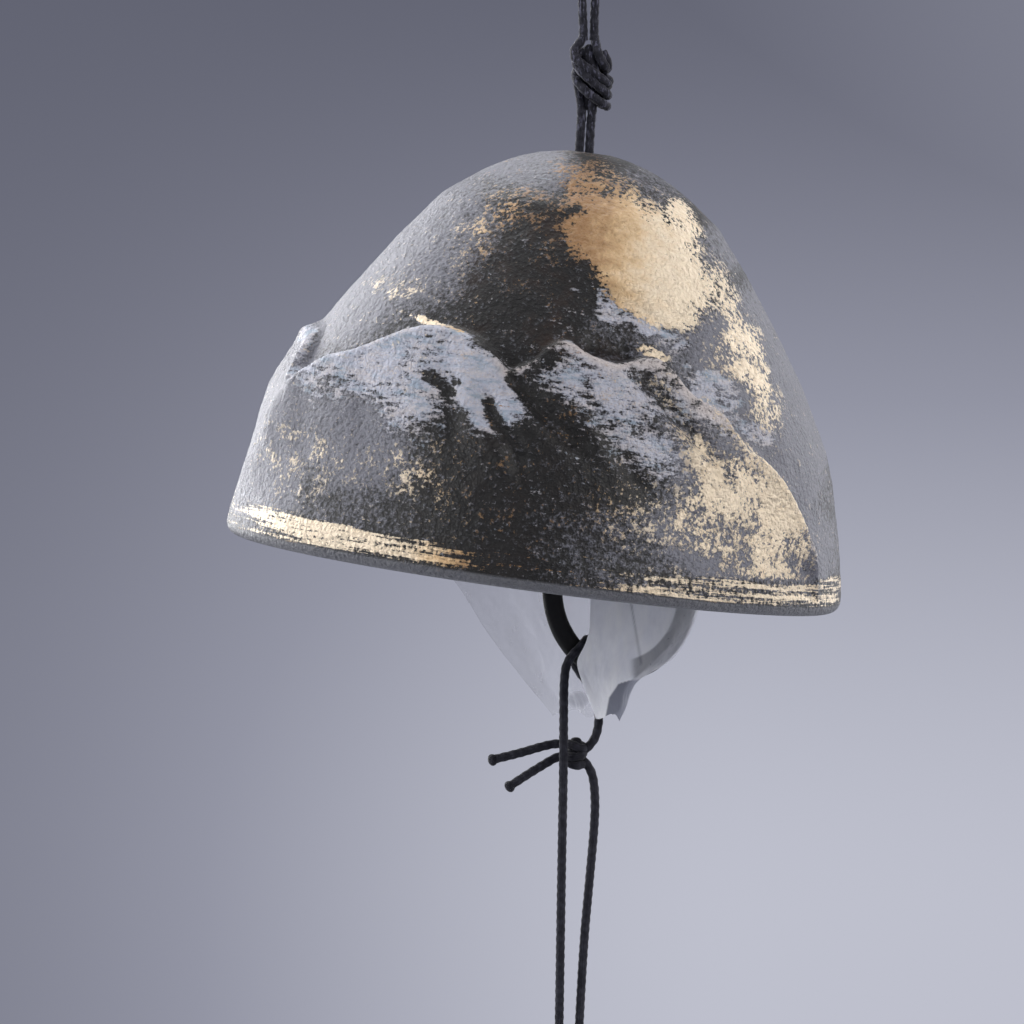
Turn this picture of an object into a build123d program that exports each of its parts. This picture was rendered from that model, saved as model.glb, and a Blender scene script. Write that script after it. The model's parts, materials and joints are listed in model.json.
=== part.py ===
from build123d import *
import os
from math import cos, pi, radians, sin, sqrt, tan

# A cast-iron wind bell on a braided cord.
# Origin: the inside of the hanging loop's top, where the hook bears.
# +Z is up, +X is to the viewer's right, and the viewer looks along +Y.
# All sizes are in millimetres.

# Cord
cord_diameter = 1.15
strand_gap = 0.12
cord_clearance = 0.3

# Upper knot, between the hanging loop and the bell
loop_length = 23.7
upper_knot_shift = 0.4
upper_knot_width = 5.2
upper_knot_height = 9.7
neck_length = 4.6
neck_shift = -0.13

# Bell
crown_shift = 0.15
bell_lean = 7.6
rim_diameter = 80.6
bell_height = 55.0
wall = 3.2
crown_wall = 3.2
core_offset = 1.1
lip_round = 1.5
lip_inner_round = 0.5
cord_hole_diameter = 4.8
cord_hole_round = 0.6
relief_height = 1.7

# Stopper knot under the crown
stopper_diameter = 6.0
seat_clearance = 0.25

# Clapper ring
ring_shift = 4.27
ring_drop = 94.64
ring_across = 20.2
ring_tall = 24.3
ring_width = 2.6
ring_thickness = 2.4
ring_edge_round = 0.7
hitch_angle = 13.0
hitch_knot_diameter = 4.0
eye_clearance = 0.28
clapper_exit_shift = 1.6

# Film wrapped round the clapper
film_thickness = 0.25
film_height = 21.4
film_above_centre = 4.64
film_back_depth = 5.0
film_front_depth = 3.3

# Lower cord
lower_knot_width = 3.1
lower_knot_height = 4.3
lower_knot_shift = -1.43
lower_knot_back = 0.6
lower_knot_drop = 116.3
tail_end_diameter = 1.6
lower_cord_end = 159.4

# Paper card
card_width = 40.0
card_length = 85.0
card_thickness = 0.4
card_shift = -2.5
card_margin = 1.0
card_hole_diameter = 3.2
card_hole_depth = 4.8
bight_spread = 2.4
card_corner_round = 1.5

# One overrun for every cut
overrun = 2.0

cord_radius = cord_diameter / 2
strand_pitch = cord_diameter + strand_gap
upper_knot_top = -loop_length
upper_knot_bottom = upper_knot_top - upper_knot_height
crown_level = upper_knot_bottom - neck_length

# Bell frame: the axis leans to the right as the bell hangs
lean_x = sin(radians(bell_lean))
lean_z = cos(radians(bell_lean))
crown = Vector(crown_shift, 0, crown_level)
up_axis = Vector(lean_x, 0, lean_z)
side_axis = Vector(lean_z, 0, -lean_x)
bell_axis = Axis(crown, up_axis)
profile_plane = Plane(origin=crown, x_dir=side_axis, z_dir=(0, -1, 0))

# Depth below the crown and radius, as shares of the bell's height and the rim's radius
bell_outline_shares = (
    (0.0145, 0.151),
    (0.0727, 0.324),
    (0.14, 0.444),
    (0.2545, 0.568),
    (0.382, 0.687),
    (0.509, 0.797),
    (0.6545, 0.889),
    (0.8, 0.948),
    (0.93, 0.988),
    (1.0, 1.0),
)

# Depth, radius and height of the relief, as shares of bell height, rim radius and relief height
relief_outline_shares = (
    (0.33, 0.643, 0.9),
    (0.42, 0.722, 1.0),
    (0.509, 0.797, 1.0),
    (0.6, 0.859, 0.8),
    (0.7, 0.911, 0.45),
    (0.8, 0.948, 0.2),
    (0.9, 0.979, 0.0),
)


def outline_points(shares, radius, height):
    """Points of a half profile, from its depth and radius shares."""
    return [(share_out * radius, -share_down * height) for share_down, share_out in shares]


def half_profile(points):
    """Close a half profile on the bell's axis."""
    Spline((0, 0), *points, tangents=((1, 0), (0.04, -1)))
    Line(points[-1], (0, points[-1][1]))
    Line((0, points[-1][1]), (0, 0))


# Relief
rim_radius = rim_diameter / 2
relief_points = [
    (out * rim_radius + rise * relief_height, -down * bell_height)
    for down, out, rise in relief_outline_shares
]
with BuildPart() as relief:
    with BuildSketch(profile_plane) as relief_sketch:
        with BuildLine() as relief_line:
            Spline(*relief_points)
            Line(relief_points[-1], (0, relief_points[-1][1]))
            Line((0, relief_points[-1][1]), (0, relief_points[0][1]))
            Line((0, relief_points[0][1]), relief_points[0])
        make_face()
    revolve(axis=bell_axis)

# Mountains of the relief: azimuth from the front in degrees, then outline shares
# (sideways share of the rim's radius, depth share of the bell's height) from left foot to right foot
mountain_shares = (
    (-41, ((-0.6, 0.9), (-0.46, 0.66), (-0.25, 0.52), (-0.08, 0.45), (0.06, 0.425), (0.3, 0.47), (0.42, 0.9))),
    (-25, ((-0.42, 0.9), (-0.25, 0.5), (-0.05, 0.418), (0.08, 0.42), (0.16, 0.46), (0.22, 0.52), (0.34, 0.9))),
    (0, ((-0.26, 0.9), (-0.14, 0.5), (-0.04, 0.43), (0.02, 0.42), (0.12, 0.44), (0.2, 0.48), (0.3, 0.9))),
    (24, ((-0.3, 0.9), (-0.14, 0.47), (-0.03, 0.422), (0.05, 0.43), (0.28, 0.58), (0.5, 0.72), (0.64, 0.9))),
    (-98, ((-0.44, 0.9), (-0.3, 0.64), (-0.12, 0.5), (0.0, 0.475), (0.14, 0.5), (0.36, 0.66), (0.48, 0.9))),
    (-142, ((-0.44, 0.9), (-0.26, 0.6), (-0.1, 0.53), (0.0, 0.52), (0.14, 0.55), (0.3, 0.64), (0.46, 0.9))),
    (176, ((-0.5, 0.9), (-0.3, 0.56), (-0.08, 0.43), (0.02, 0.425), (0.2, 0.5), (0.4, 0.66), (0.52, 0.9))),
    (138, ((-0.46, 0.9), (-0.28, 0.62), (-0.1, 0.5), (0.0, 0.49), (0.16, 0.54), (0.36, 0.68), (0.5, 0.9))),
)
facing = Plane(origin=crown, x_dir=side_axis, z_dir=up_axis)
with BuildPart() as mountains:
    for azimuth, outline in mountain_shares:
        turn = radians(azimuth)
        # Local frame facing the mountain: outward is the sketch's normal
        outward = facing.x_dir * sin(turn) - facing.y_dir * cos(turn)
        sideways = facing.x_dir * cos(turn) + facing.y_dir * sin(turn)
        hill_points = [(side * rim_radius, -down * bell_height) for side, down in outline]
        with BuildSketch(Plane(origin=crown, x_dir=sideways, z_dir=outward)) as hill_sketch:
            with BuildLine() as hill_line:
                Spline(*hill_points)
                Line(hill_points[-1], hill_points[0])
            make_face()
        extrude(amount=rim_radius + overrun)
    add(relief.part, mode=Mode.INTERSECT)

# Bell
cavity_origin = crown - up_axis * crown_wall - side_axis * core_offset
cavity_plane = Plane(origin=cavity_origin, x_dir=side_axis, z_dir=(0, -1, 0))
cavity_radius = rim_radius - wall
cavity_height = bell_height - crown_wall
cavity_points = outline_points(bell_outline_shares, cavity_radius, cavity_height)
cord_hole_radius = cord_hole_diameter / 2
with BuildPart() as bell:
    with BuildSketch(profile_plane) as bell_sketch:
        with BuildLine() as bell_line:
            half_profile(outline_points(bell_outline_shares, rim_radius, bell_height))
        make_face()
    revolve(axis=bell_axis)
    add(mountains.part)
    with BuildSketch(cavity_plane) as cavity_sketch:
        with BuildLine() as cavity_line:
            Spline((0, 0), *cavity_points, tangents=((1, 0), (0.04, -1)))
            below = cavity_points[-1][1] - overrun
            Line(cavity_points[-1], (cavity_points[-1][0], below))
            Line((cavity_points[-1][0], below), (0, below))
            Line((0, below), (0, 0))
        make_face()
    revolve(axis=Axis(cavity_origin, up_axis), mode=Mode.SUBTRACT)
    lip = bell.faces().sort_by(bell_axis)[0]
    fillet(lip.outer_wire().edges(), radius=lip_round)
    lip = bell.faces().filter_by(GeomType.PLANE).sort_by(bell_axis)[0]
    fillet(lip.inner_wires()[0].edges(), radius=lip_inner_round)
    with BuildSketch(profile_plane) as hole_sketch:
        with BuildLine() as hole_line:
            Polyline(
                (0, overrun),
                (cord_hole_radius + cord_hole_round + overrun, overrun),
                (cord_hole_radius, -cord_hole_round),
                (cord_hole_radius, -crown_wall - overrun),
                (0, -crown_wall - overrun),
                close=True,
            )
        make_face()
    revolve(axis=bell_axis, mode=Mode.SUBTRACT)
bell.part.label = "bell"


def cord_radii(points, loosest=0.45):
    """Bend radius at each inner point of a route: as large as its two runs allow."""
    radii = []
    for before, here, after in zip(points, points[1:], points[2:]):
        run_in = Vector(here) - Vector(before)
        run_out = Vector(after) - Vector(here)
        half_turn = radians(run_in.get_angle(run_out)) / 2
        radii.append(loosest * min(run_in.length, run_out.length) / tan(half_turn))
    return radii


def cord_tube(name, points):
    """Sweep a cord along its route, and print its bends and volume share."""
    start = Vector(points[0])
    direction = Vector(points[1]) - start
    with BuildPart() as tube:
        with BuildLine() as route:
            if len(points) == 2:
                Line(*points)
            else:
                radii = cord_radii(points)
                print(name, "bend radii", [round(r, 2) for r in radii])
                FilletPolyline(*points, radius=radii)
        with BuildSketch(Plane(origin=start, z_dir=direction)):
            Circle(cord_radius)
        sweep()
    path_length = route.wire().length
    section = pi * cord_radius**2
    print(name, "length", round(path_length, 2), "volume share", round(tube.part.volume / (section * path_length), 4))
    return tube.part


def knot_core(centre, width, height, flat_radius):
    """A barrel-shaped knot with a flat at its top and bottom."""
    with BuildPart() as core:
        with BuildSketch(Plane(origin=centre, x_dir=(1, 0, 0), z_dir=(0, -1, 0))) as core_sketch:
            with BuildLine() as core_line:
                ThreePointArc((flat_radius, height / 2), (width / 2, 0), (flat_radius, -height / 2))
                Polyline(
                    (flat_radius, -height / 2),
                    (0, -height / 2),
                    (0, height / 2),
                    (flat_radius, height / 2),
                )
            make_face()
        revolve(axis=Axis(centre, (0, 0, 1)))
    return core.part


# Hanging loop: over the hook and down to the upper knot
hanging_loop_route = [
    (-0.5, 0.0, -23.7),
    (-0.62, 0.0, -18.0),
    (-1.4, 0.0, -10.5),
    (-2.42, 0.0, -5.0),
    (-2.58, 0.0, 0.575),
    (2.58, 0.0, 0.575),
    (2.42, 0.0, -5.0),
    (1.55, 0.0, -10.5),
    (0.95, 0.0, -18.0),
    (0.85, 0.0, -23.7),
]
loop_tube = cord_tube("hanging_loop", hanging_loop_route)
with BuildPart() as hanging_loop:
    add(loop_tube)
hanging_loop.part.label = "hanging_loop"

# Upper knot: an overhand knot in the doubled cord, with its wraps
knot_centre = Vector(upper_knot_shift, 0, (upper_knot_top + upper_knot_bottom) / 2)
wrap_shares = ((0.27, 24, 0.15), (0.06, -30, 0.0), (-0.13, 22, 0.1), (-0.28, -16, 0.3))
wrap_radius = upper_knot_width / 2 - cord_radius
upper_core = knot_core(knot_centre, upper_knot_width, upper_knot_height, strand_pitch + cord_radius / 2)
with BuildPart() as upper_knot:
    add(upper_core)
    for level_share, tilt, shift_share in wrap_shares:
        wrap_centre = knot_centre + Vector(shift_share * cord_diameter, 0, level_share * upper_knot_height)
        with Locations(Location(wrap_centre, (0, tilt, 0))):
            Torus(wrap_radius, cord_radius)
upper_knot.part.label = "upper_knot"

# Stopper knot: a ball under the cord hole, on the bell's axis
stopper_radius = stopper_diameter / 2
seat_radius = stopper_radius + seat_clearance
stopper_depth = crown_wall + sqrt(seat_radius**2 - cord_hole_radius**2)
stopper_centre = crown - up_axis * stopper_depth
with BuildPart() as stopper_knot:
    with Locations(stopper_centre):
        Sphere(stopper_radius)
stopper_knot.part.label = "stopper_knot"

# Neck cord: two strands side by side, from the upper knot to the stopper knot
neck_top = upper_knot_bottom - cord_clearance - cord_radius
neck_tops = [Vector(neck_shift + side * strand_pitch, 0, neck_top) for side in (-0.5, 0.5)]
neck_feet = [stopper_centre + Vector(side * strand_pitch, 0, stopper_radius - cord_radius) for side in (-0.5, 0.5)]
neck_tubes = [cord_tube("neck_cord", [tuple(top), tuple(foot)]) for top, foot in zip(neck_tops, neck_feet)]
with BuildPart() as neck_cord:
    add(neck_tubes)
    with Locations(*neck_tops):
        Sphere(cord_radius)
neck_cord.part.label = "neck_cord"

# Clapper ring
ring_centre = Vector(ring_shift, 0, -ring_drop)
ring_half = ring_across / 2
with BuildPart() as clapper_ring:
    with BuildSketch(Plane(origin=ring_centre, x_dir=(1, 0, 0), z_dir=(0, -1, 0))) as ring_sketch:
        Ellipse(ring_half, ring_tall / 2)
        Ellipse(ring_half - ring_width, ring_tall / 2 - ring_width, mode=Mode.SUBTRACT)
    extrude(amount=ring_thickness / 2, both=True)
    fillet(clapper_ring.edges(), ring_edge_round)
clapper_ring.part.label = "clapper_ring"

# Clapper hitch: an eye round the ring's top with its knot above
eye_radius = ring_width / 2 + eye_clearance + cord_radius
band_half = (ring_across - ring_width) / 2
band_rise = (ring_tall - ring_width) / 2
hitch_turn = radians(hitch_angle)
hitch_up = Vector(-sin(hitch_turn) / band_half, 0, cos(hitch_turn) / band_rise).normalized()
hitch_centre = ring_centre + Vector(-band_half * sin(hitch_turn), 0, band_rise * cos(hitch_turn))
hitch_along = Vector(hitch_up.Z, 0, -hitch_up.X)
hitch_knot_radius = hitch_knot_diameter / 2
hitch_knot_centre = hitch_centre + hitch_up * (eye_radius + hitch_knot_radius - cord_radius / 2)
with BuildPart() as clapper_hitch:
    with Locations(Plane(origin=hitch_centre, x_dir=hitch_up, z_dir=hitch_along)):
        Torus(eye_radius, cord_radius)
    with Locations(Plane(origin=hitch_knot_centre, x_dir=hitch_along, z_dir=hitch_up)):
        Sphere(hitch_knot_radius)
clapper_hitch.part.label = "clapper_hitch"

# Clapper cord: two strands, one behind the other, from the stopper knot to the hitch
exit_reach = stopper_radius + cord_clearance + cord_radius
exit_drop = sqrt(exit_reach**2 - clapper_exit_shift**2)
clapper_pivot = stopper_centre + Vector(clapper_exit_shift, 0, -exit_drop)
clapper_tops = [clapper_pivot + Vector(0, side * strand_pitch, 0) for side in (-0.5, 0.5)]
clapper_feet = [hitch_knot_centre + Vector(0, side * strand_pitch, 0) for side in (-0.5, 0.5)]
clapper_tubes = [cord_tube("clapper_cord", [tuple(top), tuple(foot)]) for top, foot in zip(clapper_tops, clapper_feet)]
with BuildPart() as clapper_cord:
    add(clapper_tubes)
    with Locations(*clapper_tops):
        Sphere(cord_radius)
clapper_cord.part.label = "clapper_cord"

# Film wrap: a thin open sheet round the clapper, with its main folds.
# Each level gives its depth as a share of the film's height, then its left edge, right bulge
# and front edge as shares of half the ring's width, and how deep it stands as a share of its depth.
film_level_shares = (
    (0.0, -2.451, 1.081, -0.385, 1.0),
    (0.234, -2.063, 1.081, -0.4, 0.96),
    (0.467, -1.772, 0.993, -0.41, 1.0),
    (0.654, -1.471, 0.731, -0.585, 0.98),
    (0.818, -1.195, 0.266, -0.475, 0.92),
    (1.0, -0.841, 0.12, -0.31, 0.88),
)
# Across the back: share of the way from the left edge to the right bulge, share of the back depth
film_back_shares = ((0.0, 0.3), (0.18, 0.92), (0.4, 0.8), (0.62, 1.0), (0.9, 0.6), (1.0, 0.24))
# Across the front: share of the way from the right bulge to the front edge, share of the front depth
film_front_shares = ((0.0, -0.3), (0.16, -0.86), (0.6, -0.84), (1.0, -1.0))


def film_line(left, right, front, depth):
    """The film's outer line at one level, from its left edge round to its front edge."""
    back = [(left + along * (right - left), out * film_back_depth * depth) for along, out in film_back_shares]
    face = [(right + along * (front - right), out * film_front_depth * depth) for along, out in film_front_shares]
    return back + face


def inner_line(points):
    """The same line, one film thickness inside, mitred at each fold."""
    inner = []
    for index, here in enumerate(points):
        before = points[max(index - 1, 0)]
        after = points[min(index + 1, len(points) - 1)]
        along = Vector(after[0] - before[0], after[1] - before[1], 0).normalized()
        inner.append((here[0] + along.Y * film_thickness, here[1] - along.X * film_thickness))
    return inner


film_top = ring_centre.Z + film_above_centre
with BuildPart() as film_wrap:
    for down, left, right, front, depth in film_level_shares:
        outer = film_line(
            ring_centre.X + left * ring_half,
            ring_centre.X + right * ring_half,
            ring_centre.X + front * ring_half,
            depth,
        )
        with BuildSketch(Plane.XY.offset(film_top - down * film_height)) as film_sketch:
            with BuildLine() as film_edge:
                Polyline(*outer, *reversed(inner_line(outer)), close=True)
            make_face()
    loft(ruled=True)
film_wrap.part.label = "film_wrap"

# Streamer cord: from the lower knot up behind the ring, through it, and down its front to the card
streamer_route = [
    (-0.6, 0.6, -116.2),
    (0.75, 0.55, -115.1),
    (1.5, 0.6, -113.2),
    (1.62, 0.9, -110.6),
    (0.5, 1.5, -107.6),
    (-1.2, 1.95, -105.6),
    (-1.9, 2.05, -103.9),
    (0.0, 2.05, -101.41),
    (0.0, -2.05, -101.41),
    (-2.6, -2.05, -103.9),
    (-3.0, -1.9, -106.4),
    (-3.04, -1.6, -110.5),
    (-3.04, -1.3, -118.0),
    (-3.3, -0.7, -131.5),
    (-3.7, 0.0, -159.4),
]
streamer_tube = cord_tube("streamer_cord", streamer_route)
with BuildPart() as streamer_cord:
    add(streamer_tube)
streamer_cord.part.label = "streamer_cord"

# Streamer return: from the lower knot down to the card
return_route = [
    (-0.8, 0.6, -116.9),
    (0.45, 0.55, -118.1),
    (1.02, 0.45, -120.4),
    (1.12, 0.4, -124.4),
    (0.5, 0.2, -131.4),
    (-0.62, 0.1, -143.5),
    (-1.3, 0.0, -159.4),
]
return_tube = cord_tube("streamer_return", return_route)
with BuildPart() as streamer_return:
    add(return_tube)
streamer_return.part.label = "streamer_return"

# Lower knot, with its turn round the strands
lower_knot_centre = Vector(lower_knot_shift, lower_knot_back, -lower_knot_drop)
lower_core = knot_core(lower_knot_centre, lower_knot_width, lower_knot_height, cord_radius)
with BuildPart() as lower_knot:
    add(lower_core)
lower_knot.part.label = "lower_knot"

# Knot tails, each with its melted end
tail_routes = (
    ("knot_tail_upper", [(-1.8, 0.6, -115.3), (-3.6, 0.7, -114.95), (-6.1, 0.5, -115.5), (-8.9, 0.25, -116.35), (-12.2, 0.0, -117.1)]),
    ("knot_tail_lower", [(-1.8, 0.7, -116.4), (-3.6, 0.75, -116.65), (-5.5, 0.6, -117.75), (-7.8, 0.5, -119.15), (-10.0, 0.4, -120.6)]),
)
tails = []
for tail_name, tail_route in tail_routes:
    tail_tube = cord_tube(tail_name, tail_route)
    tail_end = Vector(tail_route[-1])
    tail_run = tail_end - Vector(tail_route[-2])
    with BuildPart() as tail:
        add(tail_tube)
        with Locations(Plane(origin=tail_end, z_dir=tail_run)):
            Sphere(tail_end_diameter / 2)
    tail.part.label = tail_name
    tails.append(tail.part)

# Card bight: the cord's bottom turn, through the hole of the card
bight_side = bight_spread / 2
card_top = -lower_cord_end - card_margin
hole_level = card_top - card_hole_depth
bight_level = hole_level + card_hole_diameter / 2 - cord_clearance - cord_radius
bight_route = [
    (card_shift - bight_side, 0.0, -lower_cord_end),
    (card_shift - bight_side, 0.0, bight_level),
    (card_shift + bight_side, 0.0, bight_level),
    (card_shift + bight_side, 0.0, -lower_cord_end),
]
bight_tube = cord_tube("card_bight", bight_route)
with BuildPart() as card_bight:
    add(bight_tube)
card_bight.part.label = "card_bight"

# Paper card that catches the wind
card_centre = card_top - card_length / 2
with BuildPart() as wind_card:
    card_plane = Plane(origin=(card_shift - card_thickness / 2, 0, card_centre), x_dir=(0, 1, 0), z_dir=(1, 0, 0))
    with BuildSketch(card_plane) as card_sketch:
        RectangleRounded(card_width, card_length, card_corner_round)
        with Locations((0, card_length / 2 - card_hole_depth)):
            Circle(card_hole_diameter / 2, mode=Mode.SUBTRACT)
    extrude(amount=card_thickness)
wind_card.part.label = "wind_card"

pieces = [
    hanging_loop.part,
    upper_knot.part,
    neck_cord.part,
    stopper_knot.part,
    bell.part,
    clapper_cord.part,
    clapper_hitch.part,
    clapper_ring.part,
    film_wrap.part,
    streamer_cord.part,
    streamer_return.part,
    lower_knot.part,
    *tails,
    card_bight.part,
    wind_card.part,
]
os.makedirs("parts", exist_ok=True)
for piece in pieces:
    export_step(piece, f"parts/{piece.label}.step")
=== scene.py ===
"""Dress a cast-iron wind bell: relief and paint, braided cords and knots, the film round its clapper, and a card.

The shapes are given in millimetres in the bell's shared frame: the origin is where the hanging loop bears on its
hook, +Z is up, +X is to the viewer's right and the viewer looks along +Y. Meshes are written in metres.
"""

from __future__ import annotations

import json
import logging
import math
from dataclasses import dataclass, field
from enum import Enum
from typing import Iterable, Sequence

import bpy
import numpy as np
from mathutils import Matrix, Vector, noise

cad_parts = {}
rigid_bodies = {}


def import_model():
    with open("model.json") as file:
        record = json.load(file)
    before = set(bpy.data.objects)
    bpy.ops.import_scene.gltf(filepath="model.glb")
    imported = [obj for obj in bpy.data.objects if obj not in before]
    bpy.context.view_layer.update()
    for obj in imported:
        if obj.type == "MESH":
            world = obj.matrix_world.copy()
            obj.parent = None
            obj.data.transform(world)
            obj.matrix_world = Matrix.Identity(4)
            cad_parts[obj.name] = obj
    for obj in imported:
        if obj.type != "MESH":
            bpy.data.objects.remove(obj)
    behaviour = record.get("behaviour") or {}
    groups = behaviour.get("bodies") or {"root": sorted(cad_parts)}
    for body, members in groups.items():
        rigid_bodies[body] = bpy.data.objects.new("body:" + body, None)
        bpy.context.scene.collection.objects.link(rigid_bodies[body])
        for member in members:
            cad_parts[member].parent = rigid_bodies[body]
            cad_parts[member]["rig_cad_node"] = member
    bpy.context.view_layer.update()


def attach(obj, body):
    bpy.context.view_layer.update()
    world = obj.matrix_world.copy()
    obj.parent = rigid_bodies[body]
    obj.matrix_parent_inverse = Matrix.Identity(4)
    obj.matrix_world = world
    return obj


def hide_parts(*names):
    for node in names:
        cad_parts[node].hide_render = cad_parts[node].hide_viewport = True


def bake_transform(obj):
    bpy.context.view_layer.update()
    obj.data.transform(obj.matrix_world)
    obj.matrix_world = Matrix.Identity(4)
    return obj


LOG = logging.getLogger("wind_bell")
MM = 0.001
FULL_TURN = 2.0 * math.pi
RANGE_ENDS = ("From Min", "From Max", "To Min", "To Max")
Point = tuple[float, float, float]
Colour = tuple[float, float, float, float]


class Slot(Enum):
    """The finishes: the record's material slots, and the floor."""

    CORD = "black_cord"
    BELL = "gilded_iron"
    RING = "black_iron"
    FILM = "milky_film"
    CARD = "card_paper"
    FLOOR = "pale_floor"


class Paint(Enum):
    """Coats that lie on the bell's iron, with painted light and shade among them, each stored as a coverage on the
    mesh.
    """

    GOLD = "gold"
    SNOW = "snow"
    STREAK = "streak"
    FROST_AND_SHEEN = "frost"
    # painted reflection: the lip's lighter grey
    LIP_REFLECTION = "shade"
    GOLD_SHEEN = "pale"
    WARMTH = "warmth"
    CREST = "crest"


class Haze(Enum):
    """What varies over the film, each stored as a share on the mesh."""

    MILK = "milk"
    TINT = "tint"
    MOTTLE = "mottle"


class Weave(Enum):
    """What the loom stores on a cord's mesh."""

    BRAID = "braid"


# ----------------------------------------------------------------------------
# Small tools
# ----------------------------------------------------------------------------


def smooth(low: float, high: float, value: np.ndarray) -> np.ndarray:
    """Ease from 0 at low to 1 at high.

    Args:
        low: value that gives 0.
        high: value that gives 1.
        value: the values to ease.

    Returns:
        The eased share of each value.
    """
    share = np.clip((value - low) / (high - low), 0.0, 1.0)
    return share * share * (3.0 - 2.0 * share)


def rounded(xs: Sequence[float], ys: Sequence[float], at: np.ndarray, blur: float) -> np.ndarray:
    """Read a broken line with its corners rounded off.

    Args:
        xs: places of its points, rising.
        ys: their heights.
        at: where it is read.
        blur: half-width of the rounding, in the units of xs.

    Returns:
        The line's height at each place.
    """
    steps = np.linspace(-1.0, 1.0, 9)
    weights = 1.0 - np.abs(steps) * 0.8
    total = sum(w * np.interp(at + s * blur, xs, ys) for s, w in zip(steps, weights))
    return total / weights.sum()


def travelled(xs: np.ndarray, ys: np.ndarray) -> np.ndarray:
    """Give the way gone along a line at each of its points."""
    return np.concatenate([[0.0], np.cumsum(np.hypot(np.diff(xs), np.diff(ys)))])


def wrapped(azimuth: np.ndarray) -> np.ndarray:
    """Bring azimuths in degrees between -180 and 180."""
    return (azimuth + 180.0) % 360.0 - 180.0


def distance_to_line(
    x: np.ndarray, y: np.ndarray, line: Sequence[tuple[float, float]]
) -> tuple[np.ndarray, np.ndarray]:
    """Measure how far points lie from a broken line.

    Args:
        x: the points' first coordinate.
        y: their second coordinate.
        line: the line's own points.

    Returns:
        The distance, and the share of the line's length at the nearest place.
    """
    best = np.full(x.shape, 1e9)
    place = np.zeros(x.shape)
    count = len(line) - 1
    for index, ((x0, y0), (x1, y1)) in enumerate(zip(line, line[1:])):
        dx, dy = x1 - x0, y1 - y0
        along = np.clip(((x - x0) * dx + (y - y0) * dy) / (dx * dx + dy * dy), 0.0, 1.0)
        gap = np.hypot(x - x0 - along * dx, y - y0 - along * dy)
        nearer = gap < best
        best = np.where(nearer, gap, best)
        place = np.where(nearer, (index + along) / count, place)
    return best, place


def mesh_object(name: str, points: np.ndarray, faces: np.ndarray, material: bpy.types.Material) -> bpy.types.Object:
    """Make a smooth mesh object from points in millimetres.

    Args:
        name: the piece's name.
        points: rows of x, y, z.
        faces: rows of four corner numbers.
        material: its material.

    Returns:
        The new object, linked to the scene.
    """
    mesh = bpy.data.meshes.new(name)
    mesh.vertices.add(len(points))
    mesh.vertices.foreach_set("co", (points * MM).astype(np.float32).ravel())
    mesh.loops.add(faces.size)
    mesh.loops.foreach_set("vertex_index", faces.astype(np.int32).ravel())
    mesh.polygons.add(len(faces))
    mesh.polygons.foreach_set("loop_start", np.arange(0, faces.size, faces.shape[1], dtype=np.int32))
    mesh.polygons.foreach_set("use_smooth", np.ones(len(faces), dtype=bool))
    mesh.update(calc_edges=True)
    mesh.validate()
    mesh.materials.append(material)
    piece = bpy.data.objects.new(name, mesh)
    bpy.context.scene.collection.objects.link(piece)
    return piece


def grid_faces(rows: int, columns: int, wrap_rows: bool, wrap_columns: bool) -> np.ndarray:
    """Number the faces of a grid of points.

    Args:
        rows: points down the grid.
        columns: points across it.
        wrap_rows: whether the last row joins the first.
        wrap_columns: whether the last column joins the first.

    Returns:
        Rows of four corner numbers.
    """
    down = np.arange(rows if wrap_rows else rows - 1)
    across = np.arange(columns if wrap_columns else columns - 1)
    r, c = np.meshgrid(down, across, indexing="ij")
    r2, c2 = (r + 1) % rows, (c + 1) % columns
    corners = (r * columns + c, r2 * columns + c, r2 * columns + c2, r * columns + c2)
    return np.stack([k.ravel() for k in corners], axis=1)


def store(piece: bpy.types.Object, layer: Enum, values: np.ndarray) -> None:
    """Keep one number for each point of a mesh in a named layer."""
    made = piece.data.attributes.new(layer.value, "FLOAT", "POINT")
    made.data.foreach_set("value", values.astype(np.float32).ravel())


def capped_rings(
    name: str, points: np.ndarray, columns: int, outward: bool, material: bpy.types.Material
) -> bpy.types.Object:
    """Make a closed round body from rings of points, with a flat cap at each end.

    Args:
        name: its name.
        points: rows of x, y, z in millimetres, ring after ring.
        columns: points in each ring.
        outward: whether the rings' own order already turns the faces outwards.
        material: its finish.

    Returns:
        The new object, linked to the scene.
    """
    count = len(points)
    faces = [tuple(face) for face in grid_faces(count // columns, columns, False, True)]
    faces += [tuple(range(columns)), tuple(reversed(range(count - columns, count)))]
    if not outward:
        faces = [tuple(reversed(face)) for face in faces]
    mesh = bpy.data.meshes.new(name)
    mesh.from_pydata([tuple(c * MM for c in point) for point in points], [], faces)
    mesh.polygons.foreach_set("use_smooth", [True] * len(faces))
    mesh.materials.append(material)
    body = bpy.data.objects.new(name, mesh)
    bpy.context.scene.collection.objects.link(body)
    return body


def dress(piece: bpy.types.Object, body: str, node: str) -> None:
    """Seat a finished piece in the frame and log it.

    Args:
        piece: the piece.
        body: the body that carries it, or nothing to leave it unattached.
        node: the CAD node that it stands for.
    """
    if body:
        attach(piece, body)
    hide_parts(node)
    LOG.info("%s rides on %s: %d faces", piece.name, body or "two bodies", len(piece.data.polygons))


# ----------------------------------------------------------------------------
# Finishes
# ----------------------------------------------------------------------------


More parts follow.
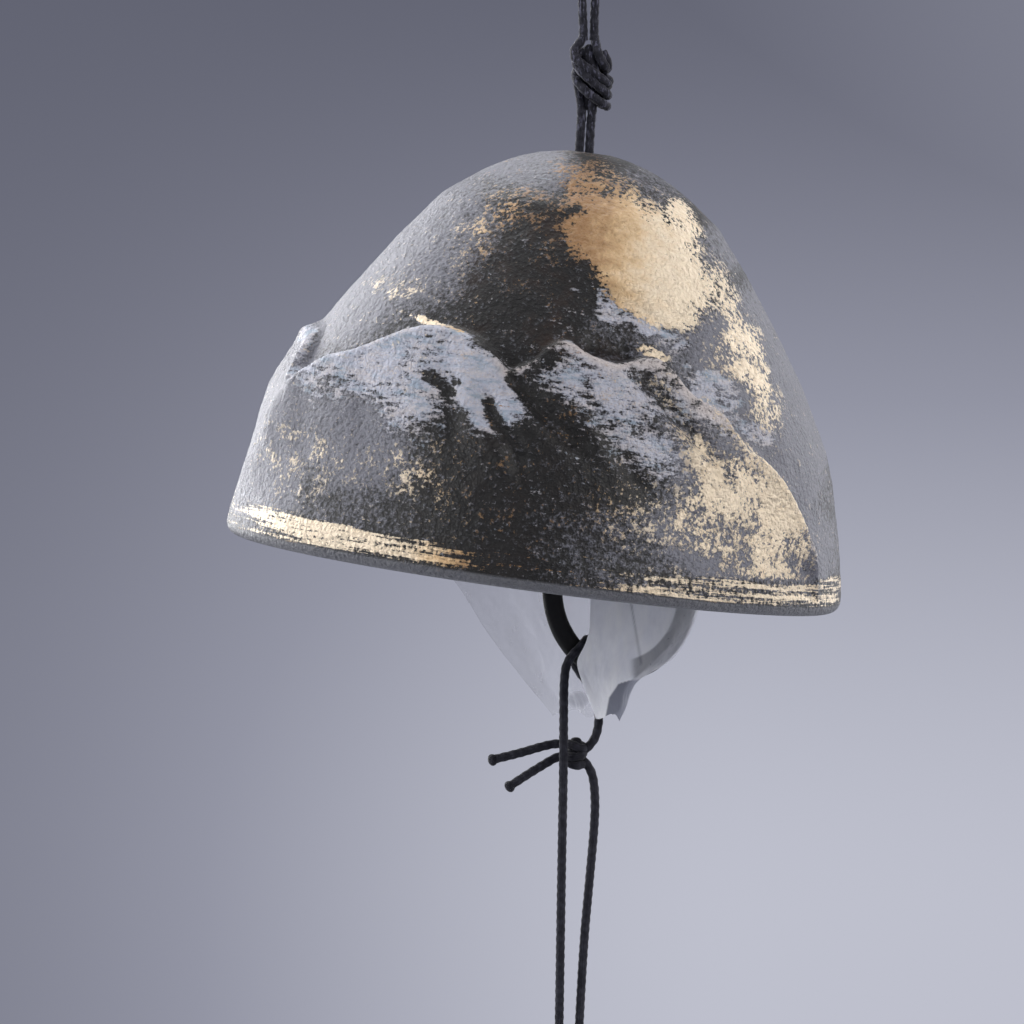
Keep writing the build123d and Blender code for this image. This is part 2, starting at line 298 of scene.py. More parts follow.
class NodePage:
    """A shader's node tree, written as a chain of calls that hand on sockets."""

    def __init__(self, slot: Slot) -> None:
        """Start the slot's material with an empty tree."""
        self.material = bpy.data.materials.new(slot.value)
        self.material.use_nodes = True
        self.tree = self.material.node_tree
        self.tree.nodes.clear()
        self.output = self.tree.nodes.new("ShaderNodeOutputMaterial")

    def node(self, kind: str, **settings: object) -> bpy.types.Node:
        """Add a node of this kind, with its settings."""
        made = self.tree.nodes.new(kind)
        for key, value in settings.items():
            setattr(made, key, value)
        return made

    def plug(self, socket: bpy.types.NodeSocket, value: object) -> None:
        """Link a socket to another, or set its value."""
        if isinstance(value, bpy.types.NodeSocket):
            self.tree.links.new(value, socket)
        else:
            socket.default_value = value

    def place(self) -> bpy.types.NodeSocket:
        """Give the point on the object."""
        return self.node("ShaderNodeTexCoord").outputs["Object"]

    def layer(self, layer: Enum) -> bpy.types.NodeSocket:
        """Read a number that is stored on the mesh."""
        return self.node("ShaderNodeAttribute", attribute_name=layer.value).outputs["Fac"]

    def turned(self, vector: object, turn: Point, scale: Point) -> bpy.types.NodeSocket:
        """Turn a vector, in radians, then scale it."""
        made = self.node("ShaderNodeMapping")
        self.plug(made.inputs["Vector"], vector)
        made.inputs["Rotation"].default_value = turn
        made.inputs["Scale"].default_value = scale
        return made.outputs["Vector"]

    def noise(self, vector: object, scale: float, detail: float = 3.0, rough: float = 0.5) -> bpy.types.NodeSocket:
        """Give a cloud pattern from 0 to 1."""
        made = self.node("ShaderNodeTexNoise")
        self.plug(made.inputs["Vector"], vector)
        made.inputs["Scale"].default_value = scale
        made.inputs["Detail"].default_value = detail
        made.inputs["Roughness"].default_value = rough
        return made.outputs["Fac"]

    def math(self, operation: str, first: object, second: object = 0.0, clamp: bool = False) -> bpy.types.NodeSocket:
        """Work out one sum."""
        made = self.node("ShaderNodeMath", operation=operation, use_clamp=clamp)
        self.plug(made.inputs[0], first)
        self.plug(made.inputs[1], second)
        return made.outputs[0]

    def times(self, first: object, second: object, clamp: bool = False) -> bpy.types.NodeSocket:
        """Multiply two values."""
        return self.math("MULTIPLY", first, second, clamp)

    def around(self, pattern: object, strength: float) -> bpy.types.NodeSocket:
        """Centre a pattern on zero at this strength."""
        return self.times(self.math("SUBTRACT", pattern, 0.5), strength)

    def total(self, *terms: object) -> bpy.types.NodeSocket:
        """Add several terms."""
        whole = terms[0]
        for term in terms[1:]:
            whole = self.math("ADD", whole, term)
        return whole

    def ease(
        self, value: object, low: float, high: float, start: float = 0.0, end: float = 1.0
    ) -> bpy.types.NodeSocket:
        """Ease a value from start at low to end at high."""
        made = self.node("ShaderNodeMapRange", interpolation_type="SMOOTHSTEP")
        self.plug(made.inputs["Value"], value)
        for key, number in zip(RANGE_ENDS, (low, high, start, end)):
            made.inputs[key].default_value = number
        return made.outputs["Result"]

    def mix(self, share: object, first: object, second: object) -> bpy.types.NodeSocket:
        """Mix two colours."""
        made = self.node("ShaderNodeMix", data_type="RGBA")
        self.plug(made.inputs[0], share)
        self.plug(made.inputs[6], first)
        self.plug(made.inputs[7], second)
        return made.outputs[2]

    def bump(self, height: object, distance: float, strength: float = 1.0) -> bpy.types.NodeSocket:
        """Raise the surface by a height pattern, distance in metres."""
        made = self.node("ShaderNodeBump")
        made.inputs["Strength"].default_value = strength
        made.inputs["Distance"].default_value = distance
        self.plug(made.inputs["Height"], height)
        return made.outputs["Normal"]

    def surface(self, **sockets: object) -> bpy.types.Material:
        """Finish with one principled surface.

        Args:
            sockets: values by socket name, with an underscore for each blank.

        Returns:
            The material.
        """
        made = self.node("ShaderNodeBsdfPrincipled")
        for key, value in sockets.items():
            self.plug(made.inputs[key.replace("_", " ")], value)
        self.tree.links.new(made.outputs[0], self.output.inputs["Surface"])
        return self.material


@dataclass(frozen=True)
class GildedIron:
    """Pebbled cast iron with rubbed gold and dry-brushed white, with a painted sheen in the frost, a painted
    shade-to-highlight tone on the gold and a painted reflection on the lip.
    """

    iron: Colour = (0.0042, 0.0036, 0.0034, 1.0)
    rust: Colour = (0.020, 0.0095, 0.0055, 1.0)
    # grey of the frost and of its painted sheen
    frost: Colour = (0.170, 0.172, 0.205, 1.0)
    snow: Colour = (0.47, 0.485, 0.575, 1.0)
    cream: Colour = (0.58, 0.52, 0.51, 1.0)
    ice: Colour = (0.22, 0.31, 0.40, 1.0)
    shaded_gold: Colour = (0.34, 0.19, 0.085, 1.0)
    gold: Colour = (0.72, 0.50, 0.275, 1.0)
    gold_highlight: Colour = (0.88, 0.74, 0.56, 1.0)
    # painted reflection on the lip
    lip_reflection: Colour = (0.150, 0.153, 0.172, 1.0)
    lean: float = math.radians(7.6)
    pebble_scale: float = 1800.0
    grit_scale: float = 3900.0
    swell_scale: float = 420.0
    fleck_scale: float = 2000.0
    brush_drag: float = 4.0
    scratch_drag: float = 26.0
    relief: float = 0.00078
    wax_relief: float = 0.00010
    wax: float = 0.35

    def build(self) -> bpy.types.Material:
        """Write the material."""
        page = NodePage(Slot.BELL)
        around, total, times = page.around, page.total, page.times
        still = (0.0, 0.0, 0.0)
        upright = page.turned(page.place(), (0.0, -self.lean, 0.0), (1.0, 1.0, 1.0))
        brushed = page.turned(upright, still, (1.0, 1.0, self.brush_drag))
        rubbed = page.turned(upright, still, (1.0, 1.0, self.scratch_drag))

        # Iron: pebbles of three sizes, dark in their pits
        pebble = page.noise(upright, self.pebble_scale, 2.0, 0.55)
        grit = page.noise(upright, self.grit_scale, 3.0, 0.6)
        swell = page.noise(upright, self.swell_scale, 3.0, 0.5)
        height = total(around(pebble, 1.0), around(grit, 0.30), around(swell, 0.9))
        rust = page.ease(page.noise(upright, 170.0, 5.0, 0.65), 0.46, 0.66)
        colour = page.mix(times(rust, page.layer(Paint.WARMTH)), self.iron, self.rust)

        # Frost: a grey bloom on the tops of the pebbles, partly a painted sheen toward the bell's sides
        wisp = page.noise(brushed, 380.0, 5.0, 0.65)
        bloom_and_sheen = total(page.layer(Paint.FROST_AND_SHEEN), around(pebble, 1.7), around(grit, 1.3))
        bloom_and_sheen = page.ease(total(bloom_and_sheen, around(swell, 0.5), around(wisp, 0.6)), 0.13, 0.95)
        colour = page.mix(bloom_and_sheen, colour, self.frost)

        # Snow: brushed round the bell in dry strokes, with the pits left dark
        drag = page.noise(brushed, 460.0, 6.0, 0.70)
        patch = page.noise(upright, 300.0, 4.0, 0.6)
        cover = total(page.layer(Paint.SNOW), around(drag, 2.6), around(patch, 1.0))
        snow = page.ease(total(cover, around(pebble, 1.1), around(grit, 0.9)), 0.34, 0.76)
        warm = page.ease(total(page.noise(brushed, 230.0, 5.0, 0.65), around(grit, 0.8)), 0.44, 0.64)
        cold = page.ease(total(page.noise(brushed, 300.0, 5.0, 0.65), around(patch, 0.5)), 0.50, 0.68)
        crest = page.layer(Paint.CREST)
        snow_colour = page.mix(page.math("MAXIMUM", times(warm, 0.6), crest), self.snow, self.cream)
        cold = times(cold, page.math("SUBTRACT", 0.65, times(crest, 0.6)))
        snow_colour = page.mix(cold, snow_colour, self.ice)
        colour = page.mix(times(snow, 0.92), colour, snow_colour)

        # Gold: flecks no bigger than a pebble, closing up where it was rubbed hard
        fleck = page.noise(upright, self.fleck_scale, 5.0, 0.68)
        island = page.noise(upright, self.swell_scale, 5.0, 0.62)
        rub = page.layer(Paint.GOLD)
        fall = total(rub, around(fleck, 2.8), around(island, 1.9), around(pebble, 0.9))
        gold = times(page.ease(fall, 0.47, 0.76), page.ease(rub, 0.15, 0.65, 0.5, 1.0))
        # Rim: long level scratches
        scratch = page.noise(rubbed, 72.0, 7.0, 0.72)
        level = total(page.layer(Paint.STREAK), around(scratch, 2.6), around(fleck, 1.3), around(pebble, 0.6))
        gold = page.math("MAXIMUM", gold, page.ease(level, 0.50, 0.66))
        cloud, stroke = page.noise(upright, 620.0, 6.0, 0.7), page.noise(brushed, 200.0, 4.0)
        # Painted shade and highlight: the gold is deep in the middle and pale toward the sides
        sheen_tone = total(page.layer(Paint.GOLD_SHEEN), around(cloud, 0.8), around(stroke, 0.5))
        low = page.mix(page.ease(sheen_tone, 0.0, 0.65), self.shaded_gold, self.gold)
        gold_colour = page.mix(page.ease(sheen_tone, 0.35, 1.05), low, self.gold_highlight)
        colour = page.mix(gold, colour, gold_colour)

        # Lip: painted reflection, a lighter grey along the edge
        colour = page.mix(times(page.layer(Paint.LIP_REFLECTION), 0.8), colour, self.lip_reflection)
        rough = page.math("ADD", page.math("SUBTRACT", 0.66, times(gold, 0.18)), times(snow, 0.2))
        thickness = total(height, times(page.math("ADD", snow, gold), 0.16))
        return page.surface(
            Base_Color=colour,
            Metallic=times(gold, 0.25),
            Roughness=rough,
            Specular_IOR_Level=0.24,
            Normal=page.bump(thickness, self.relief),
            Coat_Weight=self.wax,
            Coat_Roughness=0.50,
            Coat_Normal=page.bump(height, self.wax_relief),
        )


@dataclass(frozen=True)
class BlackIron:
    """Blackened iron of the clapper ring."""

    body: Colour = (0.004, 0.004, 0.0048, 1.0)
    worn: Colour = (0.012, 0.011, 0.011, 1.0)

    def build(self) -> bpy.types.Material:
        """Write the material."""
        page = NodePage(Slot.RING)
        place = page.place()
        grain = page.noise(place, 1500.0, 5.0, 0.6)
        wear = page.ease(page.noise(place, 320.0, 4.0), 0.5, 0.75)
        rough = page.ease(grain, 0.3, 0.7, 0.5, 0.66)
        return page.surface(
            Base_Color=page.mix(wear, self.body, self.worn),
            Roughness=rough,
            Specular_IOR_Level=0.25,
            Normal=page.bump(grain, 0.00006),
        )


@dataclass(frozen=True)
class BraidedCord:
    """Tight black braid with lighter yarns on its raised strands, partly wear and partly a painted highlight."""

    body: Colour = (0.0085, 0.0085, 0.0135, 1.0)
    yarn: Colour = (0.034, 0.034, 0.046, 1.0)
    fray: Colour = (0.085, 0.085, 0.125, 1.0)
    frayed_above: float = -0.040

    def build(self) -> bpy.types.Material:
        """Write the material."""
        page = NodePage(Slot.CORD)
        place = page.place()
        fuzz = page.noise(place, 4200.0, 4.0, 0.7)
        worn = page.noise(place, 900.0, 4.0, 0.6)
        # Lighter yarn on the raised strands where worn: wear, and a painted highlight on the strands' crowns
        light = page.times(page.layer(Weave.BRAID), page.ease(worn, 0.32, 0.66))
        colour = page.mix(page.times(light, 0.9), self.body, self.yarn)
        parts = page.node("ShaderNodeSeparateXYZ")
        page.plug(parts.inputs[0], place)
        high = page.ease(parts.outputs["Z"], self.frayed_above, self.frayed_above + 0.006, 0.10, 1.0)
        drawn = page.turned(place, (0.0, 0.0, 0.0), (1.0, 1.0, 0.28))
        fibres = page.ease(page.noise(drawn, 3000.0, 3.0, 0.6), 0.52, 0.68)
        colour = page.mix(page.times(fibres, high), colour, self.fray)
        return page.surface(
            Base_Color=colour,
            Roughness=0.8,
            Sheen_Weight=0.08,
            Sheen_Roughness=0.45,
            Specular_IOR_Level=0.2,
            Normal=page.bump(fuzz, 0.00008),
        )


@dataclass(frozen=True)
class MilkyFilm:
    """Thin milky film with dull flecks, painted shade on its folds and the dark ring's tint where it lies over the
    ring.
    """

    clear: Colour = (0.90, 0.91, 0.98, 1.0)
    crease: Colour = (0.97, 0.975, 1.0, 1.0)
    # painted shade on the film's leaf, lump and crease, and the ring's dark tint through it
    fold: Colour = (0.20, 0.21, 0.26, 1.0)
    dull: Colour = (0.25, 0.26, 0.31, 1.0)

    def build(self) -> bpy.types.Material:
        """Write the material."""
        page = NodePage(Slot.FILM)
        place = page.place()
        drawn = page.turned(place, (0.0, 0.25, 0.0), (1.0, 1.0, 0.3))
        haze = page.noise(drawn, 420.0, 4.0, 0.6)
        fleck = page.ease(page.noise(place, 1500.0, 5.0, 0.7), 0.60, 0.72)
        colour = page.mix(page.ease(haze, 0.35, 0.7), self.clear, self.crease)
        colour = page.mix(page.times(page.layer(Haze.TINT), 1.0, clamp=True), colour, self.fold)
        colour = page.mix(page.times(fleck, page.layer(Haze.MOTTLE)), colour, self.dull)
        milk = page.math("ADD", page.layer(Haze.MILK), page.around(haze, 0.3), clamp=True)
        material = page.surface(
            Base_Color=colour,
            Roughness=0.42,
            Alpha=milk,
            Specular_IOR_Level=0.4,
            Normal=page.bump(haze, 0.0003, 0.6),
        )
        material.surface_render_method = "BLENDED"
        return material


@dataclass(frozen=True)
class CardPaper:
    """Plain fibrous paper."""

    body: Colour = (0.74, 0.70, 0.61, 1.0)
    fibre: Colour = (0.84, 0.81, 0.74, 1.0)
    cloud: Colour = (0.70, 0.66, 0.57, 1.0)

    def build(self) -> bpy.types.Material:
        """Write the material."""
        page = NodePage(Slot.CARD)
        place = page.place()
        long = page.noise(page.turned(place, (0.5, 0.0, 0.0), (1.0, 1.0, 0.12)), 1600.0, 5.0, 0.7)
        cross = page.noise(page.turned(place, (-0.7, 0.0, 0.0), (1.0, 0.12, 1.0)), 1600.0, 5.0, 0.7)
        threads = page.math("MAXIMUM", page.ease(long, 0.56, 0.68), page.ease(cross, 0.58, 0.7))
        cloud = page.noise(place, 120.0, 3.0)
        base = page.mix(page.ease(cloud, 0.4, 0.62), self.body, self.cloud)
        height = page.math("ADD", threads, cloud)
        return page.surface(
            Base_Color=page.mix(page.times(threads, 0.6), base, self.fibre),
            Roughness=0.88,
            Specular_IOR_Level=0.2,
            Normal=page.bump(height, 0.00008),
        )


@dataclass(frozen=True)
class PaleFloor:
    """Matt floor that keeps the bell's shadow and thins out into the backdrop with distance."""

    floor: Colour = (0.50, 0.51, 0.56, 1.0)
    near: float = 0.20
    far: float = 0.46

    def build(self) -> bpy.types.Material:
        """Write the material."""
        page = NodePage(Slot.FLOOR)
        length = page.node("ShaderNodeVectorMath", operation="LENGTH")
        page.plug(length.inputs[0], page.place())
        away = page.ease(length.outputs["Value"], self.near, self.far)
        matt = page.node("ShaderNodeBsdfDiffuse")
        matt.inputs["Color"].default_value = self.floor
        both = page.node("ShaderNodeMixShader")
        page.plug(both.inputs[0], away)
        page.tree.links.new(matt.outputs[0], both.inputs[1])
        page.tree.links.new(page.node("ShaderNodeBsdfTransparent").outputs[0], both.inputs[2])
        page.tree.links.new(both.outputs[0], page.output.inputs["Surface"])
        return page.material


# ----------------------------------------------------------------------------
# Studio
# ----------------------------------------------------------------------------


@dataclass(frozen=True)
class Lamp:
    """One soft box: where it stands and what it faces, in millimetres, with its size and power."""

    name: str
    stands: Point
    faces: Point
    width: float
    height: float
    power: float
    colour: Point = (1.0, 1.0, 1.0)

    def light(self) -> None:
        """Switch it on."""
        data = bpy.data.lights.new(self.name, "AREA")
        data.shape = "RECTANGLE"
        data.size, data.size_y = self.width * MM, self.height * MM
        data.energy = self.power
        data.color = self.colour
        lamp = bpy.data.objects.new(self.name, data)
        lamp.location = Vector(self.stands) * MM
        lamp.rotation_mode = "QUATERNION"
        lamp.rotation_quaternion = (Vector(self.faces) - Vector(self.stands)).to_track_quat("-Z", "Y")
        bpy.context.scene.collection.objects.link(lamp)


@dataclass
class Studio:
    """Camera, floor, backdrop tone and soft boxes."""

    aim: Point = (-9.75, 0.0, -84.8)
    distance: float = 650.0
    height_seen: float = 133.1
    above: float = 3.0
    sensor: float = 36.0
    floor_level: float = -248.0
    floor_reach: float = 470.0
    tones: tuple[Colour, ...] = ((0.119, 0.124, 0.165, 1.0), (0.288, 0.296, 0.366, 1.0), (0.515, 0.527, 0.610, 1.0))
    room_tone: Colour = (0.52, 0.54, 0.62, 1.0)
    room_strength: float = 0.36
    # Where the backdrop grows lighter: downwards, a little to the right, and away from its left edge
    fade_down: tuple[float, float] = (0.075, -0.135)
    fade_right: tuple[float, float] = (0.0, 0.13)
    fade_left: tuple[float, float] = (-0.13, 0.05)
    right_share: float = 0.25
    left_share: float = 0.27
    lamps: tuple[Lamp, ...] = (
        Lamp("left_box", (-640.0, 60.0, 60.0), (-10.0, 0.0, -70.0), 260.0, 620.0, 4.2),
        Lamp("left_back_box", (-470.0, 560.0, 80.0), (-20.0, 0.0, -70.0), 320.0, 620.0, 6.6),
        Lamp("right_box", (640.0, 60.0, 40.0), (-5.0, 0.0, -75.0), 300.0, 620.0, 1.3),
        Lamp("right_back_box", (520.0, 560.0, 60.0), (10.0, 0.0, -70.0), 200.0, 620.0, 2.0),
        Lamp("right_front_box", (470.0, -430.0, 210.0), (0.0, 0.0, -70.0), 220.0, 260.0, 3.0, (1.0, 0.98, 0.95)),
        Lamp("left_front_box", (-520.0, -400.0, 120.0), (0.0, 0.0, -70.0), 220.0, 260.0, 1.5),
        Lamp("top_box", (-60.0, 420.0, 560.0), (-5.0, 0.0, -50.0), 420.0, 300.0, 3.6),
    )

    def camera(self) -> None:
        """Stand the camera where the picture was taken from."""
        data = bpy.data.cameras.new("camera")
        data.sensor_width = self.sensor
        data.lens = self.sensor * self.distance / self.height_seen
        data.clip_start, data.clip_end = 0.01, 20.0
        camera = bpy.data.objects.new("camera", data)
        tilt = math.radians(self.above)
        back = Vector((0.0, -math.cos(tilt), math.sin(tilt)))
        camera.location = (Vector(self.aim) + back * self.distance) * MM
        camera.rotation_mode = "QUATERNION"
        camera.rotation_quaternion = (-back).to_track_quat("-Z", "Y")
        bpy.context.scene.collection.objects.link(camera)
        bpy.context.scene.camera = camera

    def floor(self) -> None:
        """Lay the floor under the bell."""
        turns = 96
        angles = np.linspace(0.0, FULL_TURN, turns, endpoint=False)
        edge = self.floor_reach * np.cos(angles), self.floor_reach * np.sin(angles), np.full(turns, self.floor_level)
        points = np.stack(edge, axis=1)
        mesh_object("floor", points, np.arange(turns).reshape(1, turns), PaleFloor().build())

    def world(self) -> None:
        """Fill the room with plain light, and grade the backdrop that the camera sees."""
        world = bpy.data.worlds.new("room")
        world.use_nodes = True
        tree = world.node_tree
        tree.nodes.clear()
        new, link = tree.nodes.new, tree.links.new
        direction = new("ShaderNodeTexCoord").outputs["Generated"]
        parts = new("ShaderNodeSeparateXYZ")
        link(direction, parts.inputs[0])

        def eased(axis: str, span: tuple[float, float], start: float, end: float) -> bpy.types.NodeSocket:
            """Ease from start to end while one part of the direction crosses a span."""
            node = new("ShaderNodeMapRange")
            node.interpolation_type = "SMOOTHSTEP"
            link(parts.outputs[axis], node.inputs["Value"])
            for key, number in zip(RANGE_ENDS, (*span, start, end)):
                node.inputs[key].default_value = number
            return node.outputs["Result"]

        def combined(
            operation: str, first: bpy.types.NodeSocket, second: bpy.types.NodeSocket
        ) -> bpy.types.NodeSocket:
            """Work out one sum."""
            node = new("ShaderNodeMath")
            node.operation = operation
            link(first, node.inputs[0])
            link(second, node.inputs[1])
            return node.outputs[0]

        down, right = eased("Z", self.fade_down, 0.0, 1.0), eased("X", self.fade_right, 0.0, self.right_share)
        left = eased("X", self.fade_left, self.left_share, 1.0)
        share = combined("MULTIPLY", combined("MAXIMUM", down, right), left)
        tones = new("ShaderNodeValToRGB")
        tones.color_ramp.elements[0].color = self.tones[0]
        tones.color_ramp.elements[1].color = self.tones[2]
        tones.color_ramp.elements.new(0.5).color = self.tones[1]
        link(share, tones.inputs[0])
        seen, room = new("ShaderNodeBackground"), new("ShaderNodeBackground")
        link(tones.outputs[0], seen.inputs["Color"])
        room.inputs["Color"].default_value = self.room_tone
        room.inputs["Strength"].default_value = self.room_strength
        path = new("ShaderNodeLightPath")
        direct = combined("MAXIMUM", path.outputs["Is Camera Ray"], path.outputs["Is Transmission Ray"])
        both = new("ShaderNodeMixShader")
        link(combined("MAXIMUM", direct, path.outputs["Is Glossy Ray"]), both.inputs[0])
        link(room.outputs[0], both.inputs[1])
        link(seen.outputs[0], both.inputs[2])
        link(both.outputs[0], new("ShaderNodeOutputWorld").inputs["Surface"])
        bpy.context.scene.world = world

    def build(self) -> None:
        """Set the studio up."""
        self.camera()
        self.floor()
        self.world()
        for lamp in self.lamps:
            lamp.light()
        bpy.context.scene.view_settings.view_transform = "Standard"


# ----------------------------------------------------------------------------
# Bell
# ----------------------------------------------------------------------------


@dataclass(frozen=True)
class Mark:
    """One dab of a brush or of painted light or shade, in the bell's own elevation in millimetres: across, below the
    crown, its reach and turn.
    """

    across: float
    below: float
    wide: float
    tall: float
    turn: float
    strength: float

    def cover(self, across: np.ndarray, below: np.ndarray) -> np.ndarray:
        """Give its coverage at each place."""
        turn = math.radians(self.turn)
        x, y = across - self.across, below - self.below
        along = (x * math.cos(turn) + y * math.sin(turn)) / self.wide
        up = (-x * math.sin(turn) + y * math.cos(turn)) / self.tall
        return self.strength * (1.0 - smooth(0.55, 1.35, np.hypot(along, up)))


@dataclass(frozen=True)
class Fold:
    """A gully or rib of the relief: its line as (azimuth, depth) in degrees and millimetres, width, rise and the
    painted shade in its bed.
    """

    line: tuple[tuple[float, float], ...]
    width: float
    rise: float
    shade: float = 0.0


@dataclass
class Bell:
    """The casting: outline, mountain relief, cavity and paint."""

    crown: Point = (0.15, 0.0, -38.0)
    lean: float = math.radians(7.6)
    height: float = 55.0
    rim_radius: float = 40.3
    wall: float = 3.2
    core_offset: float = 1.1
    lip_round: float = 1.5
    lip_inner_round: float = 0.5
    hole_radius: float = 2.4
    hole_round: float = 0.6
    relief_height: float = 1.65
    front_columns: int = 280
    back_columns: int = 116
    outer_rows: int = 178
    # Depth below the crown, with the radius there
    outline: tuple[tuple[float, float], ...] = (
        (0.0, 0.0), (0.1, 2.4), (0.8, 6.1), (2.0, 9.4), (4.0, 13.05), (7.7, 18.0), (11.0, 20.6), (14.0, 23.0),
        (18.0, 25.8), (21.0, 27.85), (24.0, 29.85), (26.3, 31.3), (30.0, 33.3), (35.0, 35.9), (38.3, 37.0),
        (43.0, 38.2), (46.0, 38.9), (51.5, 39.95), (55.0, 40.3),
    )
    # Share of the cavity's height from its top, with its share of the mouth's radius
    cavity: tuple[tuple[float, float], ...] = (
        (0.0, 0.0), (0.0145, 0.151), (0.0727, 0.324), (0.14, 0.444), (0.2545, 0.568), (0.382, 0.687),
        (0.509, 0.797), (0.6545, 0.889), (0.8, 0.948), (0.93, 0.988), (1.0, 1.0),
    )
    # Azimuth in degrees, with the mountains' depth there
    crest: tuple[tuple[float, float], ...] = (
        (-180.0, 24.0), (-172.0, 26.0), (-160.0, 32.0), (-152.0, 31.0), (-142.0, 28.5), (-132.0, 31.0),
        (-120.0, 33.0), (-110.0, 28.5), (-98.0, 27.4), (-88.0, 27.1), (-80.0, 27.4), (-74.5, 27.6), (-72.0, 29.0),
        (-69.0, 32.0), (-66.0, 33.4), (-62.0, 32.6), (-58.4, 31.4), (-54.0, 29.9), (-49.1, 28.6), (-43.4, 26.6),
        (-38.3, 25.1), (-33.4, 24.2), (-28.1, 23.9), (-23.9, 24.3), (-21.0, 24.6), (-18.2, 25.2), (-15.3, 26.1),
        (-13.3, 27.2), (-11.2, 27.9), (-9.3, 27.3), (-6.3, 26.4), (-4.6, 24.9), (-2.7, 23.9), (-0.4, 23.6),
        (1.9, 23.8), (4.3, 24.4), (7.1, 25.0), (10.0, 25.4), (11.6, 25.5), (14.6, 24.9), (18.2, 24.4),
        (20.7, 24.2), (23.1, 24.7), (25.3, 25.7), (27.3, 27.3), (30.0, 28.6), (33.0, 29.1), (35.8, 30.0),
        (37.8, 31.8), (38.6, 33.3), (41.5, 34.2), (44.0, 34.6), (46.5, 35.7), (49.1, 37.1), (51.8, 38.9),
        (53.8, 40.7), (57.0, 43.6), (60.0, 46.5), (64.0, 50.5), (69.0, 53.5), (92.0, 54.0), (103.0, 52.0),
        (110.0, 40.0), (118.0, 33.5), (125.0, 30.0), (138.0, 27.0), (150.0, 31.0), (162.0, 27.0), (172.0, 23.6),
        (180.0, 24.0),
    )
    near_ridge: tuple[tuple[float, float], ...] = (
        (-46.0, 27.6), (-52.0, 29.3), (-55.0, 30.3), (-58.4, 31.5), (-62.0, 33.4), (-65.7, 35.7), (-69.5, 38.2),
        (-73.2, 42.0), (-79.0, 47.5), (-86.0, 54.0),
    )
    near_rise: float = 0.85
    # The crest's own lip, where the relief ends, the rim's edge and the radius at which folds are drawn
    crest_lip: float = 0.30
    relief_foot: float = 48.5
    rim_edge: float = 52.0
    fold_radius: float = 33.0
    # Size and fineness of the casting's unevenness
    grain: tuple[tuple[float, float], ...] = ((0.11, 0.22), (0.075, 0.75), (0.05, 1.6))
    sight: float = math.sin(math.radians(5.0)) - math.sin(math.radians(3.0))
    folds: tuple[Fold, ...] = (
        Fold(
            ((-11.4, 28.6), (-8.4, 29.7), (-4.8, 31.2), (-1.5, 32.7), (1.7, 34.0), (5.2, 35.4), (8.0, 37.6)), 1.15,
            -1.25, 1.0,
        ),
        Fold(
            ((-14.6, 31.4), (-12.6, 33.4), (-10.1, 34.9), (-7.9, 36.3), (-6.1, 38.2), (-4.0, 41.0)), 1.05, -1.05,
            1.0,
        ),
        Fold(
            ((16.4, 26.9), (20.4, 28.0), (23.2, 30.0), (26.4, 31.8), (29.5, 33.6), (32.2, 35.1), (36.5, 38.0)),
            1.25, -1.15, 0.45,
        ),
        Fold(
            (
                (14.0, 29.0), (16.6, 30.5), (19.7, 32.0), (23.8, 33.7), (27.2, 35.1), (30.7, 36.5), (34.4, 38.8),
                (38.0, 42.0),
            ),
            1.2, 0.6,
        ),
        Fold(
            ((26.2, 24.3), (30.3, 26.3), (33.8, 27.6), (38.1, 28.9), (42.2, 31.2), (47.0, 32.9), (53.0, 35.5)),
            1.7, -0.55,
        ),
        Fold(((4.6, 23.4), (9.0, 23.0), (13.4, 23.4), (17.0, 23.4)), 1.5, -0.85, 0.8),
        Fold(((-44.0, 31.0), (-40.0, 35.0), (-36.0, 41.0)), 1.6, -0.3),
        Fold(((-31.0, 27.5), (-29.0, 32.0), (-26.0, 38.0)), 1.8, 0.25),
        Fold(((-24.0, 29.0), (-21.0, 33.0), (-17.0, 39.0)), 1.3, -0.4, 0.3),
        Fold(((-57.0, 33.0), (-55.0, 38.0), (-52.0, 43.0)), 1.6, -0.3),
        Fold(((4.0, 28.0), (8.0, 32.0), (14.0, 37.0), (20.0, 42.0)), 1.2, -0.4, 0.3),
        Fold(((40.0, 36.0), (43.0, 40.0), (47.0, 45.0)), 1.4, -0.35),
        Fold(((172.0, 25.0), (166.0, 31.0), (160.0, 38.0)), 1.3, -0.9, 0.6),
        Fold(((-176.0, 27.0), (-170.0, 33.0), (-165.0, 40.0)), 1.3, -0.9, 0.6),
        Fold(((137.0, 30.0), (131.0, 35.0), (128.0, 41.0)), 1.4, -0.7, 0.4),
        Fold(((-141.0, 31.0), (-137.0, 36.0), (-135.0, 42.0)), 1.4, -0.7, 0.4),
        Fold(((-99.0, 29.0), (-95.0, 34.0), (-93.0, 41.0)), 1.4, -0.6, 0.3),
        Fold(((116.0, 37.0), (112.0, 41.0), (110.0, 45.0)), 1.3, -0.5, 0.3),
    )
